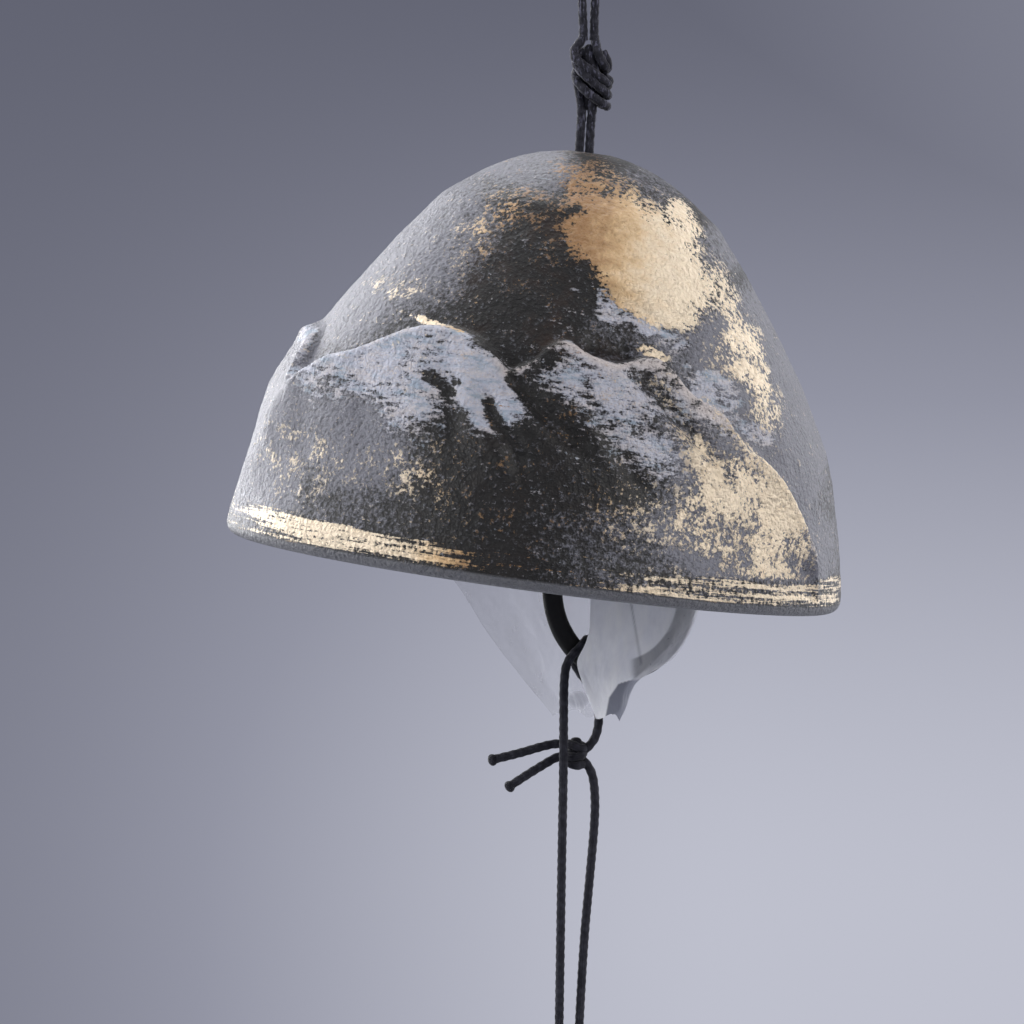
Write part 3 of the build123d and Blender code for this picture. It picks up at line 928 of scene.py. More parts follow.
    gold: tuple[Mark, ...] = (
        Mark(9.3, 12.9, 9.2, 5.1, 34, 1.35), Mark(2.6, 10.8, 4.4, 3.2, 18, 0.66),
        Mark(1.8, 4.2, 6.4, 3.2, 18, 0.55), Mark(13.8, 7.4, 3.9, 1.8, 53, 0.5),
        Mark(11.3, 6.8, 3.8, 2.6, 45, 0.42), Mark(19.2, 14.9, 4.4, 1.8, 63, 0.5),
        Mark(23.4, 22.6, 5.6, 2.5, 68, 0.42), Mark(26.2, 28.4, 4.8, 2.6, 66, 0.42),
        Mark(-14.1, 13.5, 2.9, 3.9, 8, 0.30), Mark(-21.6, 19.7, 4.7, 1.8, -12, 0.36),
        Mark(-8.0, 7.7, 4.9, 3.1, -2, 0.34), Mark(-10.1, 11.1, 3.9, 3.9, 8, 0.2),
        Mark(-16.1, 23.7, 4.7, 0.6, 12, 0.8), Mark(21.3, 22.1, 3.4, 3.9, 58, 0.45),
        Mark(11.0, 23.4, 2.3, 0.8, 13, 0.8), Mark(8.4, 17.2, 6.5, 2.3, 18, 0.5),
        Mark(24.0, 42.4, 7.6, 7.3, 18, 0.50), Mark(20.4, 37.5, 6.5, 3.4, 38, 0.44),
        Mark(16.2, 33.3, 5.2, 1.8, 48, 0.34), Mark(23.8, 33.9, 3.9, 1.3, 48, 0.5),
        Mark(20.0, 30.6, 4.0, 1.4, 50, 0.42), Mark(28.4, 40.0, 4.4, 2.2, 56, 0.5),
        Mark(30.2, 46.0, 5.0, 3.4, 50, 0.42), Mark(12.3, 28.3, 2.6, 1.6, 38, 0.35),
        Mark(-8.3, 42.3, 11.7, 4.7, 8, 0.22), Mark(-20.8, 41.9, 7.8, 3.9, 8, 0.22),
        Mark(-30.9, 43.0, 5.0, 6.2, 14, 0.30), Mark(11.6, 43.4, 7.8, 5.2, 8, 0.34),
        Mark(18.8, 50.7, 6.5, 1.8, 8, 0.6), Mark(30.5, 50.1, 5.2, 2.1, 8, 0.5),
        Mark(2.3, 33.6, 3.1, 1.8, 38, 0.25), Mark(-2.4, 11.2, 3.1, 7.8, 18, 0.3),
    )
    snow: tuple[Mark, ...] = (
        Mark(-15.7, 29.2, 10.9, 5.2, 8, 0.80), Mark(-26.4, 31.1, 6.5, 4.4, -17, 0.6),
        Mark(-8.6, 30.9, 5.2, 3.6, 28, 0.72), Mark(-8.0, 37.8, 3.6, 4.6, 22, 0.62),
        Mark(-17.5, 36.0, 6.0, 2.6, 8, 0.3), Mark(-30.0, 26.5, 5.5, 2.4, -34, 0.4),
        Mark(1.5, 27.5, 6.8, 3.1, 8, 0.42), Mark(4.9, 29.7, 6.5, 3.4, 13, 0.38),
        Mark(11.5, 32.6, 7.8, 4.4, 18, 0.42), Mark(10.8, 36.5, 6.5, 3.1, 8, 0.40),
        Mark(19.9, 27.9, 2.9, 3.9, -32, 0.7), Mark(25.6, 31.7, 2.9, 1.2, 23, 0.8),
        Mark(17.1, 26.0, 3.4, 1.6, 48, 0.4), Mark(6.4, 18.6, 5.2, 2.6, 14, 0.72),
        Mark(12.2, 21.2, 3.6, 1.8, 22, 0.62), Mark(-14.1, 35.9, 7.8, 2.6, 8, 0.42),
        Mark(-37.6, 50.1, 3.4, 2.6, 8, 0.4), Mark(0.6, 35.0, 5.2, 2.6, 8, 0.25),
    )
    # Frost dabs, partly a painted sheen where side light grazes the bell
    frost: tuple[Mark, ...] = (
        Mark(-20.0, 12.0, 12.5, 9.0, -32, 0.62), Mark(-28.6, 23.0, 5.4, 4.9, -32, 0.7),
        Mark(30.3, 37.3, 4.4, 9.8, 18, 0.75), Mark(32.8, 47.1, 4.9, 5.4, 8, 0.7),
        Mark(22.4, 19.6, 4.1, 6.2, 38, 0.5), Mark(17.5, 10.4, 3.4, 6.2, 48, 0.4),
        Mark(-36.5, 46.5, 5.6, 7.5, 20, 0.9), Mark(-35.0, 36.0, 4.0, 9.0, 28, 0.5),
        Mark(-25.1, 39.1, 8.8, 5.7, 8, 0.5), Mark(27.0, 27.0, 4.0, 9.0, 30, 0.7),
        Mark(21.0, 28.5, 6.0, 2.4, 42, 0.6), Mark(5.6, 23.2, 4.2, 2.0, 20, 0.45),
        Mark(14.0, 48.0, 15.0, 5.5, 8, 0.48), Mark(-9.0, 1.5, 9.0, 4.0, 15, 0.80),
        Mark(9.0, 3.0, 8.0, 3.5, -20, 0.45), Mark(4.0, 45.0, 6.0, 3.0, 8, 0.14),
        Mark(12.0, 52.5, 11.0, 2.4, 8, 0.28), Mark(31.0, 32.5, 4.5, 7.5, 25, 0.3),
        Mark(14.5, 20.0, 8.0, 4.6, 42, 0.5), Mark(14.0, 31.5, 8.0, 5.0, 40, 0.40),
        Mark(21.0, 41.5, 8.5, 7.5, 20, 0.50), Mark(8.0, 21.5, 6.0, 2.4, 14, 0.35),
    )
    # Painted shade: where the paint is left thin at the bell's unlit middle and in its hollows, with a few real black
    # spots among them
    shade_marks: tuple[Mark, ...] = (
        Mark(-6.6, 17.9, 5.5, 8.3, 8, 0.9), Mark(-5.8, 24.5, 5.2, 3.1, 8, 1.0),
        Mark(-2.1, 42.6, 9.6, 7.8, 8, 0.75), Mark(-12.7, 36.9, 3.4, 3.9, 8, 0.7),
        Mark(-15.3, 30.6, 1.2, 0.8, 8, 0.9), Mark(-13.3, 31.5, 1.3, 0.7, 8, 0.9),
        Mark(-12.1, 30.5, 0.9, 0.5, 8, 0.8), Mark(0.6, 35.4, 4.7, 2.6, 8, 0.4), Mark(5.6, 22.8, 3.6, 1.8, 20, 0.8),
        Mark(-5.0, 39.4, 5.2, 3.9, 8, 0.7), Mark(12.2, 48.2, 7.8, 3.4, 8, 0.3), Mark(5.9, 37.4, 3.9, 2.6, 8, 0.4),
    )

    def __post_init__(self) -> None:
        """Work out the bell's own axes."""
        self.up = np.array([math.sin(self.lean), 0.0, math.cos(self.lean)])
        self.side = np.array([math.cos(self.lean), 0.0, -math.sin(self.lean)])
        self.top = np.array(self.crown)

    def azimuths(self) -> np.ndarray:
        """Give the columns' azimuths in degrees, closer together where the relief is finest."""
        front = np.linspace(-100.0, 100.0, self.front_columns, endpoint=False)
        back = np.linspace(100.0, 260.0, self.back_columns, endpoint=False)
        return np.concatenate([front, back])

    def outer_profile(self) -> tuple[np.ndarray, np.ndarray]:
        """Give depth and radius of the outer rows, spaced evenly along the outline."""
        depths, radii = np.array(self.outline).T
        fine = np.linspace(0.0, 1.0, 4000) ** 1.6 * self.height
        line = rounded(depths, radii, fine, 0.7)
        line[:60] = np.interp(fine[:60], depths, radii)
        start = np.searchsorted(line, self.hole_radius + self.hole_round)
        fine, line = fine[start:], line[start:]
        travel = travelled(fine, line)
        ends = travel[-1] - self.lip_round
        even = np.linspace(0.0, ends, self.outer_rows)
        return np.interp(even, travel, fine), np.interp(even, travel, line)

    def crest_depth(self, azimuth: np.ndarray) -> np.ndarray:
        """Give the depth of the mountains' crest at each azimuth."""
        angles, depths = np.array(self.crest).T
        return rounded(angles, depths, wrapped(azimuth), 0.9)

    def told_depth(self, azimuth: np.ndarray, depth: np.ndarray, radius: np.ndarray) -> np.ndarray:
        """Turn a depth on the bell into the depth that its tables are drawn in, seen a little from above."""
        return depth - self.sight * radius * np.cos(np.radians(azimuth))

    def relief(self, azimuth: np.ndarray, depth: np.ndarray, radius: np.ndarray) -> tuple[np.ndarray, np.ndarray]:
        """Work out how far the relief stands off the outline.

        Args:
            azimuth: degrees from the front.
            depth: millimetres below the crown.
            radius: the outline's radius there.

        Returns:
            The rise in millimetres, and the painted shade in the gullies' beds at each place.
        """
        turned = wrapped(azimuth)
        told = self.told_depth(azimuth, depth, radius)
        crest = self.crest_depth(azimuth)
        below = told - crest
        slack = 0.85 + 0.75 * smooth(-58.0, -72.0, turned)
        step = smooth(-1.0, 1.0, below / slack)
        lip = self.crest_lip * np.exp(-(((below - 1.1) / 0.95) ** 2))
        foot = 1.0 - smooth(0.0, 1.0, (told - crest - 2.0) / np.maximum(self.relief_foot - crest - 2.0, 1.0))
        rise = (self.relief_height * step + lip) * foot * smooth(self.rim_edge, 44.0, crest)
        rise = rise * (1.0 - 0.22 * smooth(-62.0, -76.0, turned))

        # The nearer ridge on the left stands in front of the one on the outline
        azimuths, depths = np.array(self.near_ridge).T
        ahead = np.radians(turned - np.interp(told, depths, azimuths)) * radius
        near = smooth(-0.8, 0.9, ahead) * np.exp(-((np.maximum(ahead - 1.2, 0.0) / 6.0) ** 2))
        near = near * smooth(28.0, 31.0, told) * smooth(self.rim_edge, 44.0, told)
        rise = rise + self.near_rise * near * (turned < 0.0)

        # Gullies and ribs, with painted shade in the gullies' beds
        gully_shade = np.zeros(rise.shape)
        for fold in self.folds:
            line = [(math.radians(a) * self.fold_radius, d) for a, d in fold.line]
            gap, place = distance_to_line(np.radians(turned) * self.fold_radius, told, line)
            taper = smooth(-0.12, 0.12, place) * smooth(1.1, 0.72, place)
            rise = rise + fold.rise * (np.exp(-((gap / fold.width) ** 2)) * taper)
            bed = fold.shade * np.exp(-((gap / (fold.width * 0.8)) ** 4))
            gully_shade = np.maximum(gully_shade, bed * smooth(-0.05, 0.05, place) * smooth(1.05, 0.9, place))
        return rise, gully_shade

    def lumps(self, points: np.ndarray, relief: np.ndarray) -> np.ndarray:
        """Give the casting's own unevenness at each point, in millimetres."""
        rough = np.empty(len(points))
        for index, place in enumerate(points):
            rough[index] = sum(size * noise.noise(Vector(place) * scale) for size, scale in self.grain)
        return rough * (0.75 + 0.5 * np.clip(relief, 0.0, 1.5))

    @staticmethod
    def dabs(marks: Iterable[Mark], across: np.ndarray, below: np.ndarray) -> np.ndarray:
        """Add up the coverage of several marks."""
        return sum(mark.cover(across, below) for mark in marks)

    def paint(
        self, azimuth: np.ndarray, depth: np.ndarray, radius: np.ndarray, gully_shade: np.ndarray
    ) -> dict[Paint, np.ndarray]:
        """Work out each coat's coverage, with painted shade, side sheen and lip reflection among them.

        Args:
            azimuth: degrees from the front.
            depth: millimetres below the crown.
            radius: the outline's radius there.
            gully_shade: the painted shade in the gullies' beds at each place.

        Returns:
            The coverage of each coat.
        """
        across = radius * np.sin(np.radians(azimuth))
        told = self.told_depth(azimuth, depth, radius)
        below = told - self.crest_depth(azimuth)
        behind = np.cos(np.radians(azimuth)) < 0.0
        turned = wrapped(azimuth)
        # Painted shade from the shade marks and the gullies' beds thins every coat
        shade = 1.0 - np.clip(self.dabs(self.shade_marks, across, told), 0.0, 1.0) * np.where(behind, 0.5, 1.0)
        shade = shade * (1.0 - gully_shade)
        rim = smooth(48.9, 49.9, told)
        hill = smooth(-0.3, 0.8, below) * (1.0 - rim)

        # Snow: dabs on the faces, with a line of it along the crest
        snow = self.dabs(self.snow, across, told) * np.where(behind, 0.35, 1.0)
        snow = snow * np.where(across < 3.0, smooth(-0.7, 0.3, below), 1.0)
        snow = snow + hill * np.where(behind, 0.5, 0.05) * smooth(13.0, 2.0, below)
        edge = 0.42 + 0.26 * smooth(-17.0, -11.0, turned) * smooth(60.0, 52.0, turned)
        width = 0.9 + 0.9 * smooth(14.0, 24.0, turned)
        line = np.exp(-(((below - 0.75 * width) / width) ** 2)) * smooth(50.0, 46.0, told)
        snow = (snow + edge * line) * (1.0 - rim) * shade

        # Gold, and frost with a painted sheen growing toward the left and right sides, both thinner under the painted
        # shade and on the rim
        gold = self.dabs(self.gold, across, told)
        gold = np.where(behind & (below > 0.0), gold * 0.55, gold)
        gold = (gold + 0.06) * (0.5 + 0.5 * shade) * (1.0 - 0.7 * rim)
        side_sheen = 0.42 * smooth(-9.0, -24.0, across) + 0.50 * smooth(9.0, 26.0, across)
        frost = self.dabs(self.frost, across, told) + side_sheen
        frost = frost * (0.25 + 0.75 * shade) * (1.0 - 0.5 * rim) + 0.04

        # Rim: scratches, closest on its left
        streak = rim * smooth(54.8, 53.8, depth)
        left = smooth(-38.5, -34.0, across) * smooth(-6.0, -14.0, across)
        streak = streak * (0.31 + 0.52 * left * smooth(53.9, 52.3, depth) + 0.24 * smooth(6.0, 20.0, across))
        return {
            Paint.GOLD: np.clip(gold, 0.0, 1.4),
            Paint.SNOW: np.clip(snow, 0.0, 1.1),
            Paint.FROST_AND_SHEEN: np.clip(frost, 0.0, 1.1),
            Paint.STREAK: streak,
            Paint.LIP_REFLECTION: smooth(53.9, 54.8, depth),
            # painted sheen on the gold, paler away from the middle
            Paint.GOLD_SHEEN: smooth(1.0, 17.0, np.abs(across + 3.0)),
            Paint.CREST: line * smooth(-20.0, -10.0, turned) * ~behind,
            Paint.WARMTH: np.exp(-(((across + 3.0) / 11.0) ** 2)) * smooth(33.0, 24.0, told) + 0.15,
        }

    def spot(self, azimuth: np.ndarray, depth: np.ndarray, radius: np.ndarray, shift: float = 0.0) -> np.ndarray:
        """Turn azimuth, depth and radius into points, shifted along the bell's side."""
        turn = np.radians(azimuth)
        out = self.side[None, :] * (radius * np.sin(turn) + shift)[:, None]
        out[:, 1] -= radius * np.cos(turn)
        return self.top + out - self.up[None, :] * depth[:, None]

    def build(self, material: bpy.types.Material) -> bpy.types.Object:
        """Make the casting.

        Args:
            material: its finish.

        Returns:
            The bell.
        """
        angles = self.azimuths()
        columns = len(angles)
        depths, radii = self.outer_profile()
        azimuth = np.tile(angles, len(depths))
        depth = np.repeat(depths, columns)
        radius = np.repeat(radii, columns)
        rise, gully_shade = self.relief(azimuth, depth, radius)
        slope = np.gradient(radii, depths)
        tilt = np.repeat(np.arctan(slope), columns)
        plain = self.spot(azimuth, depth, radius)
        rise = rise + self.lumps(plain, rise) * smooth(55.0, 52.0, depth)
        outer = self.spot(azimuth, depth - rise * np.sin(tilt), radius + rise * np.cos(tilt))
        rows = [outer]

        def ring(level: float, reach: float, shift: float = 0.0) -> None:
            """Add one level ring of points."""
            rows.append(self.spot(angles, np.full(columns, level), np.full(columns, reach), shift))

        # Lip: rounded outside, nearly sharp inside
        lip_top, lip_radius, turn = depths[-1], radii[-1], self.lip_round
        for bend in np.linspace(0.15, 1.0, 7) * math.pi / 2.0:
            ring(lip_top + turn * math.sin(bend), lip_radius - turn * (1.0 - math.cos(bend)))
        inner_radius, turn = self.rim_radius - self.wall, self.lip_inner_round
        for bend in (0.0, 0.25 * math.pi, 0.5 * math.pi):
            level = lip_top + self.lip_round - turn * (1.0 - math.cos(bend))
            ring(level, inner_radius + turn * (1.0 - math.sin(bend)), -self.core_offset)

        # Cavity, then the cord's hole
        shares, outs = np.array(self.cavity).T
        cavity_depth = self.wall + shares * (self.height - self.wall)
        cavity_radius = outs * inner_radius
        fine = np.linspace(0.0, 1.0, 600) ** 1.6 * (self.height - self.wall) + self.wall
        wall_line = rounded(cavity_depth, cavity_radius, fine, 0.5)
        wall_line[:30] = np.interp(fine[:30], cavity_depth, cavity_radius)
        begin = np.searchsorted(wall_line, self.hole_radius + 0.2)
        fine, wall_line = fine[begin:], wall_line[begin:]
        travel = travelled(fine, wall_line)
        even = np.linspace(travel[-1] - self.lip_inner_round, 0.0, 40)
        for level, reach in zip(np.interp(even, travel, fine), np.interp(even, travel, wall_line)):
            ring(level, reach, -self.core_offset * smooth(3.2, 6.5, np.array(reach)))
        for level in (self.wall + 0.1, 2.0, self.hole_round):
            ring(level, self.hole_radius)
        ring(0.25, self.hole_radius + 0.2)
        points = np.concatenate(rows)
        faces = grid_faces(len(points) // columns, columns, True, True)
        bell = mesh_object("bell_casting", points, faces, material)
        coats = self.paint(azimuth, depth, radius, gully_shade)
        rest = len(points) - len(outer)
        for coat, cover in coats.items():
            tail = np.zeros(rest)
            # Painted reflection: all of it on the lip's rings, a quarter of it in the cavity
            if coat is Paint.LIP_REFLECTION:
                tail[: 8 * columns] = 1.0
                tail[8 * columns :] = 0.25
            store(bell, coat, np.concatenate([cover, tail]))
        dress(bell, "bell", "bell")
        return bell


# ----------------------------------------------------------------------------
# Cords and knots
# ----------------------------------------------------------------------------


@dataclass
class BraidLoom:
    """Geometry Nodes that lay a braided tube along a line."""

    facets: int = 22
    spacing: float = 0.13
    strands: int = 5
    pitch: float = 2.3
    depth: float = 0.055
    tree: bpy.types.NodeTree = field(init=False)

    def __post_init__(self) -> None:
        """Write the node tree once, for every cord."""
        tree = bpy.data.node_groups.new("braided_tube", "GeometryNodeTree")
        face = tree.interface
        face.new_socket(name="Line", in_out="INPUT", socket_type="NodeSocketGeometry")
        for name in ("Radius", "Spacing", "Braid Depth", "Braid Pitch"):
            face.new_socket(name=name, in_out="INPUT", socket_type="NodeSocketFloat")
        for name in ("Facets", "Strands"):
            face.new_socket(name=name, in_out="INPUT", socket_type="NodeSocketInt")
        face.new_socket(name="Finish", in_out="INPUT", socket_type="NodeSocketMaterial")
        face.new_socket(name="Cord", in_out="OUTPUT", socket_type="NodeSocketGeometry")
        new, link = tree.nodes.new, tree.links.new
        given, made = new("NodeGroupInput"), new("NodeGroupOutput")

        def sum_of(operation: str, first: object, second: object) -> bpy.types.NodeSocket:
            """Work out one sum."""
            node = new("ShaderNodeMath")
            node.operation = operation
            for socket, value in zip(node.inputs, (first, second)):
                if isinstance(value, bpy.types.NodeSocket):
                    link(value, socket)
                else:
                    socket.default_value = value
            return node.outputs[0]

        def remembered(geometry: bpy.types.NodeSocket, value: bpy.types.NodeSocket) -> Sequence[bpy.types.NodeSocket]:
            """Keep a number with the geometry."""
            node = new("GeometryNodeCaptureAttribute")
            node.capture_items.new("FLOAT", "Value")
            link(geometry, node.inputs[0])
            link(value, node.inputs[1])
            return node.outputs[:2]

        line = new("GeometryNodeMeshToCurve")
        link(given.outputs["Line"], line.inputs[0])
        even = new("GeometryNodeResampleCurve")
        even.mode = "LENGTH"
        link(line.outputs[0], even.inputs["Curve"])
        link(given.outputs["Spacing"], even.inputs["Length"])
        spine, along = remembered(even.outputs[0], new("GeometryNodeSplineParameter").outputs["Length"])
        ring = new("GeometryNodeCurvePrimitiveCircle")
        link(given.outputs["Facets"], ring.inputs["Resolution"])
        link(given.outputs["Radius"], ring.inputs["Radius"])
        profile, around = remembered(ring.outputs[0], new("GeometryNodeSplineParameter").outputs["Factor"])
        tube = new("GeometryNodeCurveToMesh")
        link(spine, tube.inputs["Curve"])
        link(profile, tube.inputs["Profile Curve"])
        tube.inputs["Fill Caps"].default_value = True
        run = sum_of("DIVIDE", along, given.outputs["Braid Pitch"])
        turn = sum_of("MULTIPLY", around, given.outputs["Strands"])
        right = sum_of("SINE", sum_of("MULTIPLY", sum_of("ADD", turn, run), FULL_TURN), 0.0)
        left = sum_of("SINE", sum_of("MULTIPLY", sum_of("SUBTRACT", turn, run), FULL_TURN), 0.0)
        weave = sum_of("MULTIPLY", right, left)
        push = new("ShaderNodeVectorMath")
        push.operation = "SCALE"
        link(new("GeometryNodeInputNormal").outputs[0], push.inputs[0])
        link(sum_of("MULTIPLY", weave, given.outputs["Braid Depth"]), push.inputs["Scale"])
        moved = new("GeometryNodeSetPosition")
        link(tube.outputs[0], moved.inputs["Geometry"])
        link(push.outputs[0], moved.inputs["Offset"])
        kept = new("GeometryNodeStoreNamedAttribute")
        kept.data_type, kept.domain = "FLOAT", "POINT"
        kept.inputs["Name"].default_value = Weave.BRAID.value
        link(moved.outputs[0], kept.inputs["Geometry"])
        link(sum_of("ADD", sum_of("MULTIPLY", weave, 0.5), 0.5), kept.inputs["Value"])
        shaded = new("GeometryNodeSetShadeSmooth")
        link(kept.outputs[0], shaded.inputs["Geometry"])
        real = new("GeometryNodeRealizeInstances")
        link(shaded.outputs[0], real.inputs[0])
        dressed = new("GeometryNodeSetMaterial")
        link(real.outputs[0], dressed.inputs["Geometry"])
        link(given.outputs["Finish"], dressed.inputs["Material"])
        link(dressed.outputs[0], made.inputs[0])
        self.tree = tree

    def socket(self, name: str) -> str:
        """Give the identifier of a named input."""
        return next(i.identifier for i in self.tree.interface.items_tree if i.name == name and i.in_out == "INPUT")

    def tube(self, name: str, line: np.ndarray, radius: float, material: bpy.types.Material) -> bpy.types.Object:
        """Lay a braided tube along a line.

        Args:
            name: the piece's name.
            line: points in millimetres that it follows.
            radius: the cord's radius.
            material: its finish.

        Returns:
            The tube as a plain mesh.
        """
        wire = bpy.data.meshes.new(name + "_line")
        wire.from_pydata([tuple(p) for p in line * MM], [(i, i + 1) for i in range(len(line) - 1)], [])
        holder = bpy.data.objects.new(name + "_line", wire)
        bpy.context.scene.collection.objects.link(holder)
        maker = holder.modifiers.new("braid", "NODES")
        maker.node_group = self.tree
        values = {
            "Radius": radius * MM,
            "Spacing": self.spacing * MM,
            "Braid Depth": self.depth * MM,
            "Braid Pitch": self.pitch * MM,
            "Facets": self.facets,
            "Strands": self.strands,
            "Finish": material,
        }
        for key, value in values.items():
            maker[self.socket(key)] = value
        bpy.context.view_layer.update()
        graph = bpy.context.evaluated_depsgraph_get()
        whole = holder.evaluated_get(graph)
        mesh = bpy.data.meshes.new_from_object(whole, preserve_all_data_layers=True, depsgraph=graph)
        mesh.name = name
        if not mesh.materials:
            mesh.materials.append(material)
        piece = bpy.data.objects.new(name, mesh)
        bpy.context.scene.collection.objects.link(piece)
        bpy.data.objects.remove(holder)
        bpy.data.meshes.remove(wire)
        return piece


def route_line(name: str, route: Sequence[Point]) -> np.ndarray:
    """Read the smooth line of a route.

    Args:
        name: the cord's name.
        route: its control points in millimetres.

    Returns:
        Points along the line, in millimetres.
    """
    data = bpy.data.curves.new(name + "_route", "CURVE")
    data.dimensions = "3D"
    data.resolution_u = 16
    spline = data.splines.new("NURBS")
    spline.points.add(len(route) - 1)
    for point, place in zip(spline.points, route):
        point.co = (*(c * MM for c in place), 1.0)
    spline.order_u = 3
    spline.use_endpoint_u = True
    holder = bpy.data.objects.new(name + "_route", data)
    bpy.context.scene.collection.objects.link(holder)
    bpy.context.view_layer.update()
    mesh = bpy.data.meshes.new_from_object(holder.evaluated_get(bpy.context.evaluated_depsgraph_get()))
    line = np.array([v.co for v in mesh.vertices]) / MM
    bpy.data.objects.remove(holder)
    bpy.data.curves.remove(data)
    bpy.data.meshes.remove(mesh)
    return line


def joined(name: str, parts: Sequence[bpy.types.Object]) -> bpy.types.Object:
    """Join mesh objects into the first, under a new name.

    Args:
        name: the new name.
        parts: the objects, all at the origin.

    Returns:
        The joined object.
    """
    first, every = parts[0], list(parts)
    if len(every) > 1:
        with bpy.context.temp_override(
            active_object=first, selected_editable_objects=every, selected_objects=every, object=first
        ):
            bpy.ops.object.join()
    first.name = name
    first.data.name = name
    return first


@dataclass(frozen=True)
class Knot:
    """A knot wound of one cord, in millimetres: its middle, its core's radius and height, and its turns."""

    middle: Point
    core: tuple[float, float]
    turns: tuple[tuple[float, float, float, float], ...] = ()
    seed: int = 1


@dataclass
class CordWork:
    """Every braided cord of the bell, with its knots."""

    loom: BraidLoom
    material: bpy.types.Material
    radius: float = 0.575
    pitch: float = 1.27
    overhand: Knot = Knot((0.35, 0.0, -28.5), (1.35, 8.6))
    stopper: Knot = Knot(
        middle=(-0.5631, 0.0, -43.3441),
        core=(2.3, 5.2),
        turns=((1.0, 20.0, 1.9, 0.0), (-0.2, -25.0, 2.3, 0.0), (-1.2, 15.0, 1.8, 0.0)),
        seed=2,
    )
    granny: Knot = Knot(
        middle=(-1.43, 0.6, -116.3),
        core=(1.05, 4.1),
        turns=((0.95, 12.0, 1.0, 0.05), (-0.3, -14.0, 1.05, 0.0), (-1.45, 8.0, 0.9, 0.05)),
        seed=3,
    )
    hitch_core: tuple[float, float] = (1.45, 3.7)
    hitch_turns: tuple[tuple[float, float, float, float], ...] = ((0.75, 15.0, 1.25, 0.0), (-0.45, -20.0, 1.35, 0.0))
    neck_top: Point = (-0.13, 0.0, -33.6)
    neck_foot: float = 2.4
    clapper_top: Point = (1.0369, 0.0, -46.8733)
    loop_gives: tuple[float, float] = (-5.0, -22.5)
    streamer_gives: tuple[float, float] = (-133.0, -158.5)
    bead_radius: float = 0.78
    bead_half: float = 0.66
    eye_clearance: float = 0.28
    loop_route: tuple[Point, ...] = (
        (-0.5, 0.0, -23.7), (-0.62, 0.0, -18.0), (-1.4, 0.0, -10.5), (-2.42, 0.0, -5.0), (-2.58, 0.0, 0.575),
        (2.58, 0.0, 0.575), (2.42, 0.0, -5.0), (1.55, 0.0, -10.5), (0.95, 0.0, -18.0), (0.85, 0.0, -23.7),
    )
    streamer_route: tuple[Point, ...] = (
        (-0.6, 0.6, -116.2), (0.75, 0.55, -115.1), (1.5, 0.6, -113.2), (1.62, 0.9, -110.6), (0.5, 1.5, -107.6),
        (-1.2, 1.95, -105.6), (-1.9, 2.05, -103.9), (0.0, 2.05, -101.41), (0.0, -2.05, -101.41),
        (-2.6, -2.05, -103.9), (-3.0, -1.9, -106.4), (-3.04, -1.6, -110.5), (-3.04, -1.3, -118.0),
        (-3.3, -0.7, -131.5), (-3.7, 0.0, -159.4),
    )
    return_route: tuple[Point, ...] = (
        (-0.8, 0.6, -116.9), (0.45, 0.55, -118.1), (1.02, 0.45, -120.4), (1.12, 0.4, -124.4), (0.5, 0.2, -131.4),
        (-0.62, 0.1, -143.5), (-1.3, 0.0, -159.4),
    )
    upper_tail: tuple[Point, ...] = (
        (-1.8, 0.6, -115.3), (-3.6, 0.7, -114.95), (-6.1, 0.5, -115.5), (-8.9, 0.25, -116.35),
        (-12.2, 0.0, -117.1),
    )
    lower_tail: tuple[Point, ...] = (
        (-1.8, 0.7, -116.4), (-3.6, 0.75, -116.65), (-5.5, 0.6, -117.75), (-7.8, 0.5, -119.15),
        (-10.0, 0.4, -120.6),
    )
    knot_routes: tuple[tuple[Point, ...], ...] = (
        (
            (-0.5, 0.0, -23.2), (-0.9, -0.5, -24.0), (-1.75, -0.7, -24.9), (-1.7, -1.5, -26.1), (0.1, -2.05, -27.5),
            (1.7, -1.8, -28.6), (2.8, -0.7, -29.5), (2.5, 0.9, -29.6), (0.8, 1.6, -28.6), (-1.0, 1.2, -27.6),
        ),
        (
            (0.3, 0.4, -24.9), (-0.9, 0.1, -25.2), (-1.7, -0.8, -26.4), (-0.9, -1.9, -27.8), (0.8, -2.0, -29.2),
            (2.2, -1.2, -30.3), (2.85, 0.0, -30.9), (2.0, 1.2, -30.7), (0.3, 1.4, -29.8),
        ),
        (
            (0.9, 0.0, -23.2), (1.1, -0.6, -24.3), (1.35, -1.3, -25.4), (1.9, -1.1, -26.5), (2.5, -0.2, -27.3),
            (2.3, 0.9, -27.6), (0.8, 1.6, -27.0),
        ),
        (
            (-0.6, 1.3, -27.0), (-1.5, 0.7, -27.5), (-1.55, -0.9, -28.8), (-0.3, -1.8, -30.3), (1.3, -1.6, -31.5),
            (2.5, -0.7, -32.2), (2.5, 0.5, -32.2), (1.2, 1.1, -31.6),
        ),
        (
            (2.0, -0.2, -25.2), (2.75, -0.4, -26.6), (2.6, 0.6, -27.6), (1.4, 1.2, -28.2),
        ),
        (
            (2.1, -1.1, -28.4), (3.0, -0.4, -28.9), (2.6, 0.8, -29.3), (1.2, 1.3, -29.6),
        ),
        (
            (-0.9, 0.9, -26.6), (-1.5, -0.1, -27.7), (-1.35, -0.75, -29.2), (-0.95, -0.75, -30.8),
            (-0.75, -0.2, -32.6), (-0.76, 0.0, -34.2),
        ),
        (
            (0.5, -0.6, -30.6), (0.75, -0.9, -31.6), (0.6, -0.4, -32.8), (0.505, 0.0, -34.2),
        ),
    )
    bight_route: tuple[Point, ...] = (
        (-3.7, 0.0, -159.4), (-3.7, 0.0, -162.2), (-3.7, 0.0, -164.475), (-1.3, 0.0, -164.475),
        (-1.3, 0.0, -162.2), (-1.3, 0.0, -159.4),
    )

